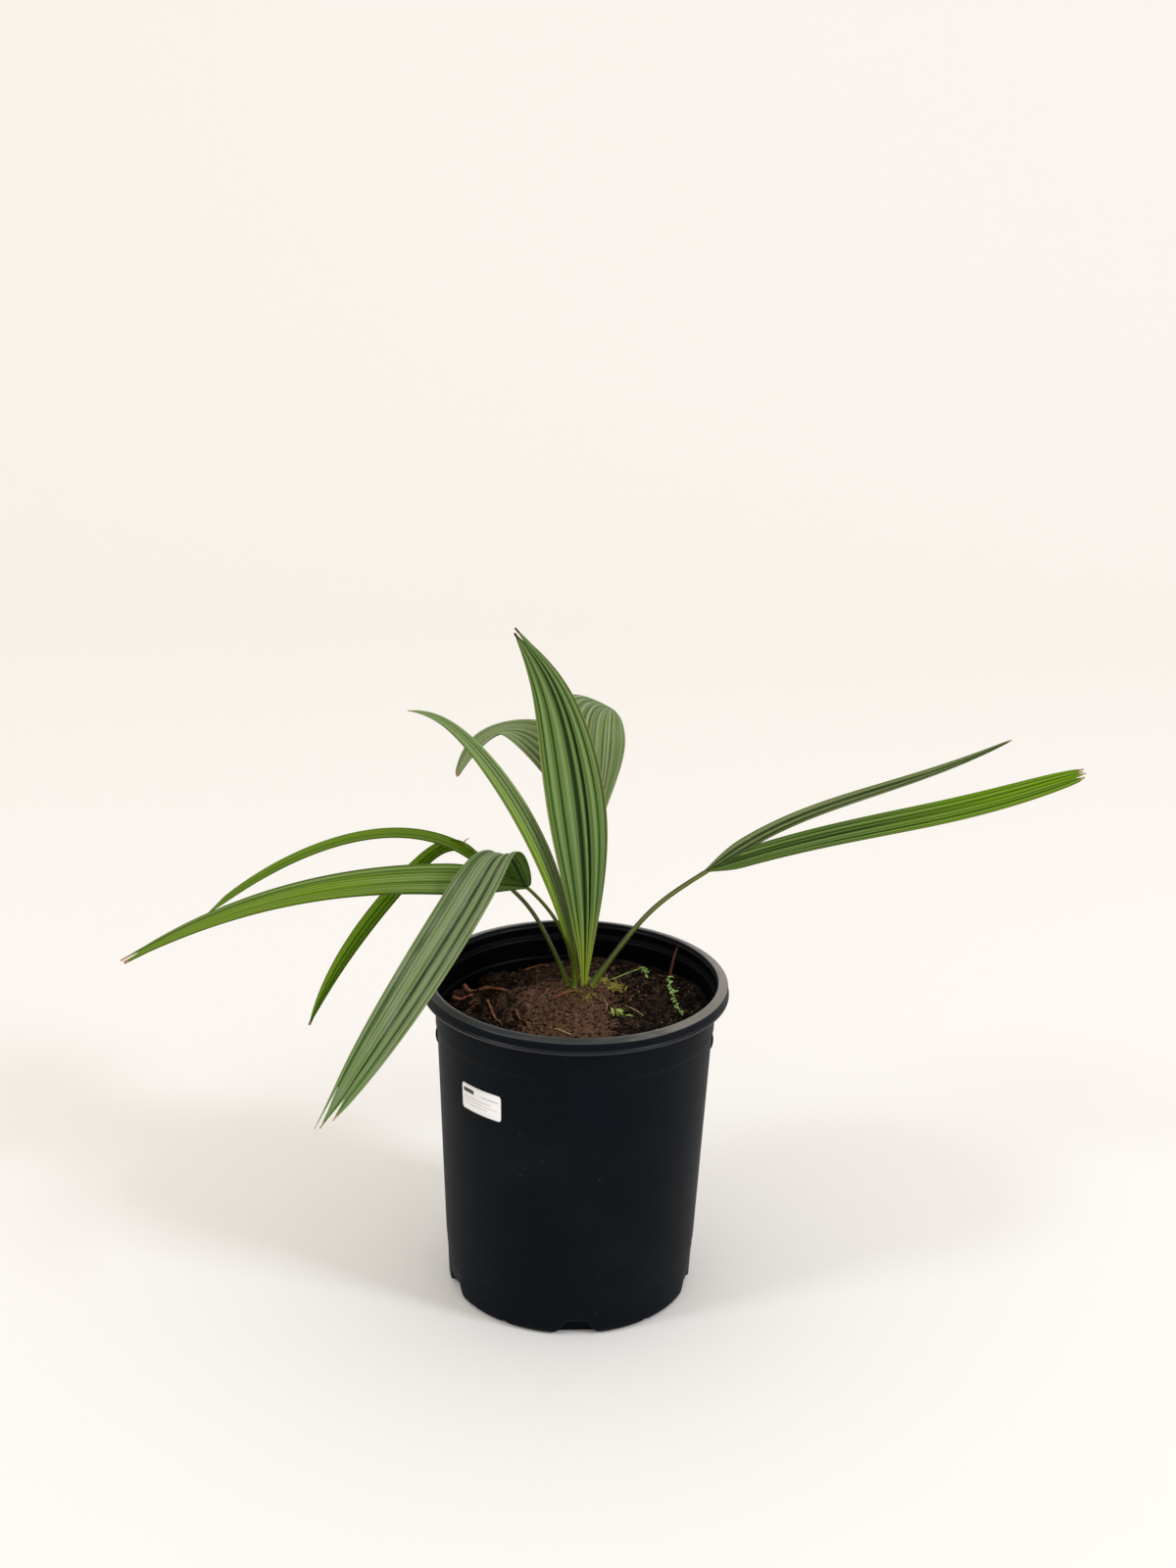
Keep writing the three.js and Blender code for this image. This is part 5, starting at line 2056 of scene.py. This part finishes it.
@dataclass(frozen=True)
class Studio:
    """A pale seamless floor, soft lights and the camera of the photograph."""

    camera_place: tuple[float, float, float] = (0.0, -1552.7, 931.8)
    yaw: float = -0.19
    pitch: float = 19.28
    roll: float = 1.46
    focal: float = 2400.0
    frame_height: float = 1600.0
    sensor: float = 36.0
    clip_start: float = 0.05
    clip_end: float = 50.0
    paper: Colour = shade(245, 243, 239)
    floor_drop: float = 0.2
    floor_front: float = -3.5
    floor_back: float = 1.8
    floor_bend: float = 1.6
    floor_half: float = 5.0
    wall_top: float = 5.0
    glow: float = 0.855
    glow_colour: Colour = shade(250, 244, 236)
    light_reach: float = 5.0
    light_size: float = 0.9
    light_rise: float = 40.0
    light_aim: tuple[float, float, float] = (0.0, 0.0, 0.2)
    key_bearing: float = -28.0
    key_power: float = 66.5
    key_colour: Colour = (0.98, 1.05, 1.21)
    fill_bearing: float = 209.0
    fill_power: float = 43.0
    fill_colour: Colour = (1.02, 1.06, 1.16)

    def camera(self) -> None:
        """Places the camera."""
        yaw, pitch, roll = (math.radians(angle) for angle in (self.yaw, self.pitch, self.roll))
        level = math.cos(pitch)
        forward = np.array([-math.sin(yaw) * level, math.cos(yaw) * level, -math.sin(pitch)])
        data = bpy.data.cameras.new("camera")
        data.sensor_width = self.sensor
        data.lens = self.focal / self.frame_height * self.sensor
        data.clip_start, data.clip_end = self.clip_start, self.clip_end
        made = placed("camera", data)
        turn_along(made, forward, np.array(self.camera_place) * MM, roll)
        bpy.context.scene.camera = made

    def floor(self) -> None:
        """Makes the seamless floor and backdrop."""
        back, bend, half = self.floor_back, self.floor_bend, self.floor_half
        curve = [(self.floor_front, 0.0), (back, 0.0)]
        turns = np.linspace(0, math.pi / 2, 24)[1:]
        curve += [(back + bend * math.sin(turn), bend * (1 - math.cos(turn))) for turn in turns]
        curve += [(back + bend, self.wall_top)]
        points = [(x, y, z - self.floor_drop * MM) for y, z in curve for x in (-half, half)]
        data = bpy.data.meshes.new("studio_floor")
        corners = [(2 * i, 2 * i + 1, 2 * i + 3, 2 * i + 2) for i in range(len(curve) - 1)]
        data.from_pydata(points, [], corners)
        for polygon in data.polygons:
            polygon.use_smooth = True
        finish = {"Base Color": self.paper, "Roughness": 0.9, "Specular IOR Level": 0.1}
        data.materials.append(Graph("studio_paper").finish(finish))
        made = placed("studio_floor", data)

    def lamp(self, name: str, place: tuple[float, float, float], aim: tuple[float, float, float], size: float,
             power: float, colour: Colour) -> None:
        """Adds a square soft light.

        Args:
            name: the light's name.
            place: where it hangs, in metres.
            aim: what it points at, in metres.
            size: the length of its side, in metres.
            power: its strength in watts.
            colour: its colour.
        """
        data = bpy.data.lights.new(name, "AREA")
        data.size, data.energy, data.color = size, power, colour
        away = np.array(aim, float) - np.array(place, float)
        turn_along(placed(name, data), away / np.linalg.norm(away), place)

    def lights(self) -> None:
        """Sets the room's even glow, a soft light at the right and a weaker one at the left."""
        world = bpy.data.worlds.new("studio_glow")
        world.use_nodes = True
        glow = world.node_tree.nodes["Background"]
        glow.inputs["Color"].default_value = (*self.glow_colour, 1.0)
        glow.inputs["Strength"].default_value = self.glow
        bpy.context.scene.world = world
        for name, bearing, power, colour in (
            ("key_light", self.key_bearing, self.key_power, self.key_colour),
            ("fill_light", self.fill_bearing, self.fill_power, self.fill_colour),
        ):
            turn, lift = math.radians(bearing), math.radians(self.light_rise)
            flat = math.cos(lift) * self.light_reach
            place = (flat * math.cos(turn), flat * math.sin(turn), math.sin(lift) * self.light_reach)
            self.lamp(name, place, self.light_aim, self.light_size, power, colour)

    def build(self) -> None:
        """Sets up the camera, the floor, the lights and the way that colours are shown."""
        self.camera()
        self.floor()
        self.lights()
        bpy.context.scene.view_settings.view_transform = "Standard"


def main() -> None:
    """Builds the studio and then the object from the pot up."""
    logging.basicConfig(level=logging.INFO, format="%(name)s %(message)s")
    shop = Workshop()
    Studio().build()
    pot = NurseryPot()
    pot.build(shop)
    WallLabel(pot).build(shop)
    soil = PottingSoil(pot)
    soil.build(shop)
    SoilCover(soil).build(shop)
    ShortStem().build(shop)
    Leaves().build(shop)
    LOG.info("%d pieces on %s", len(shop.made), ROOT)


if __name__ == "__main__":
    main()
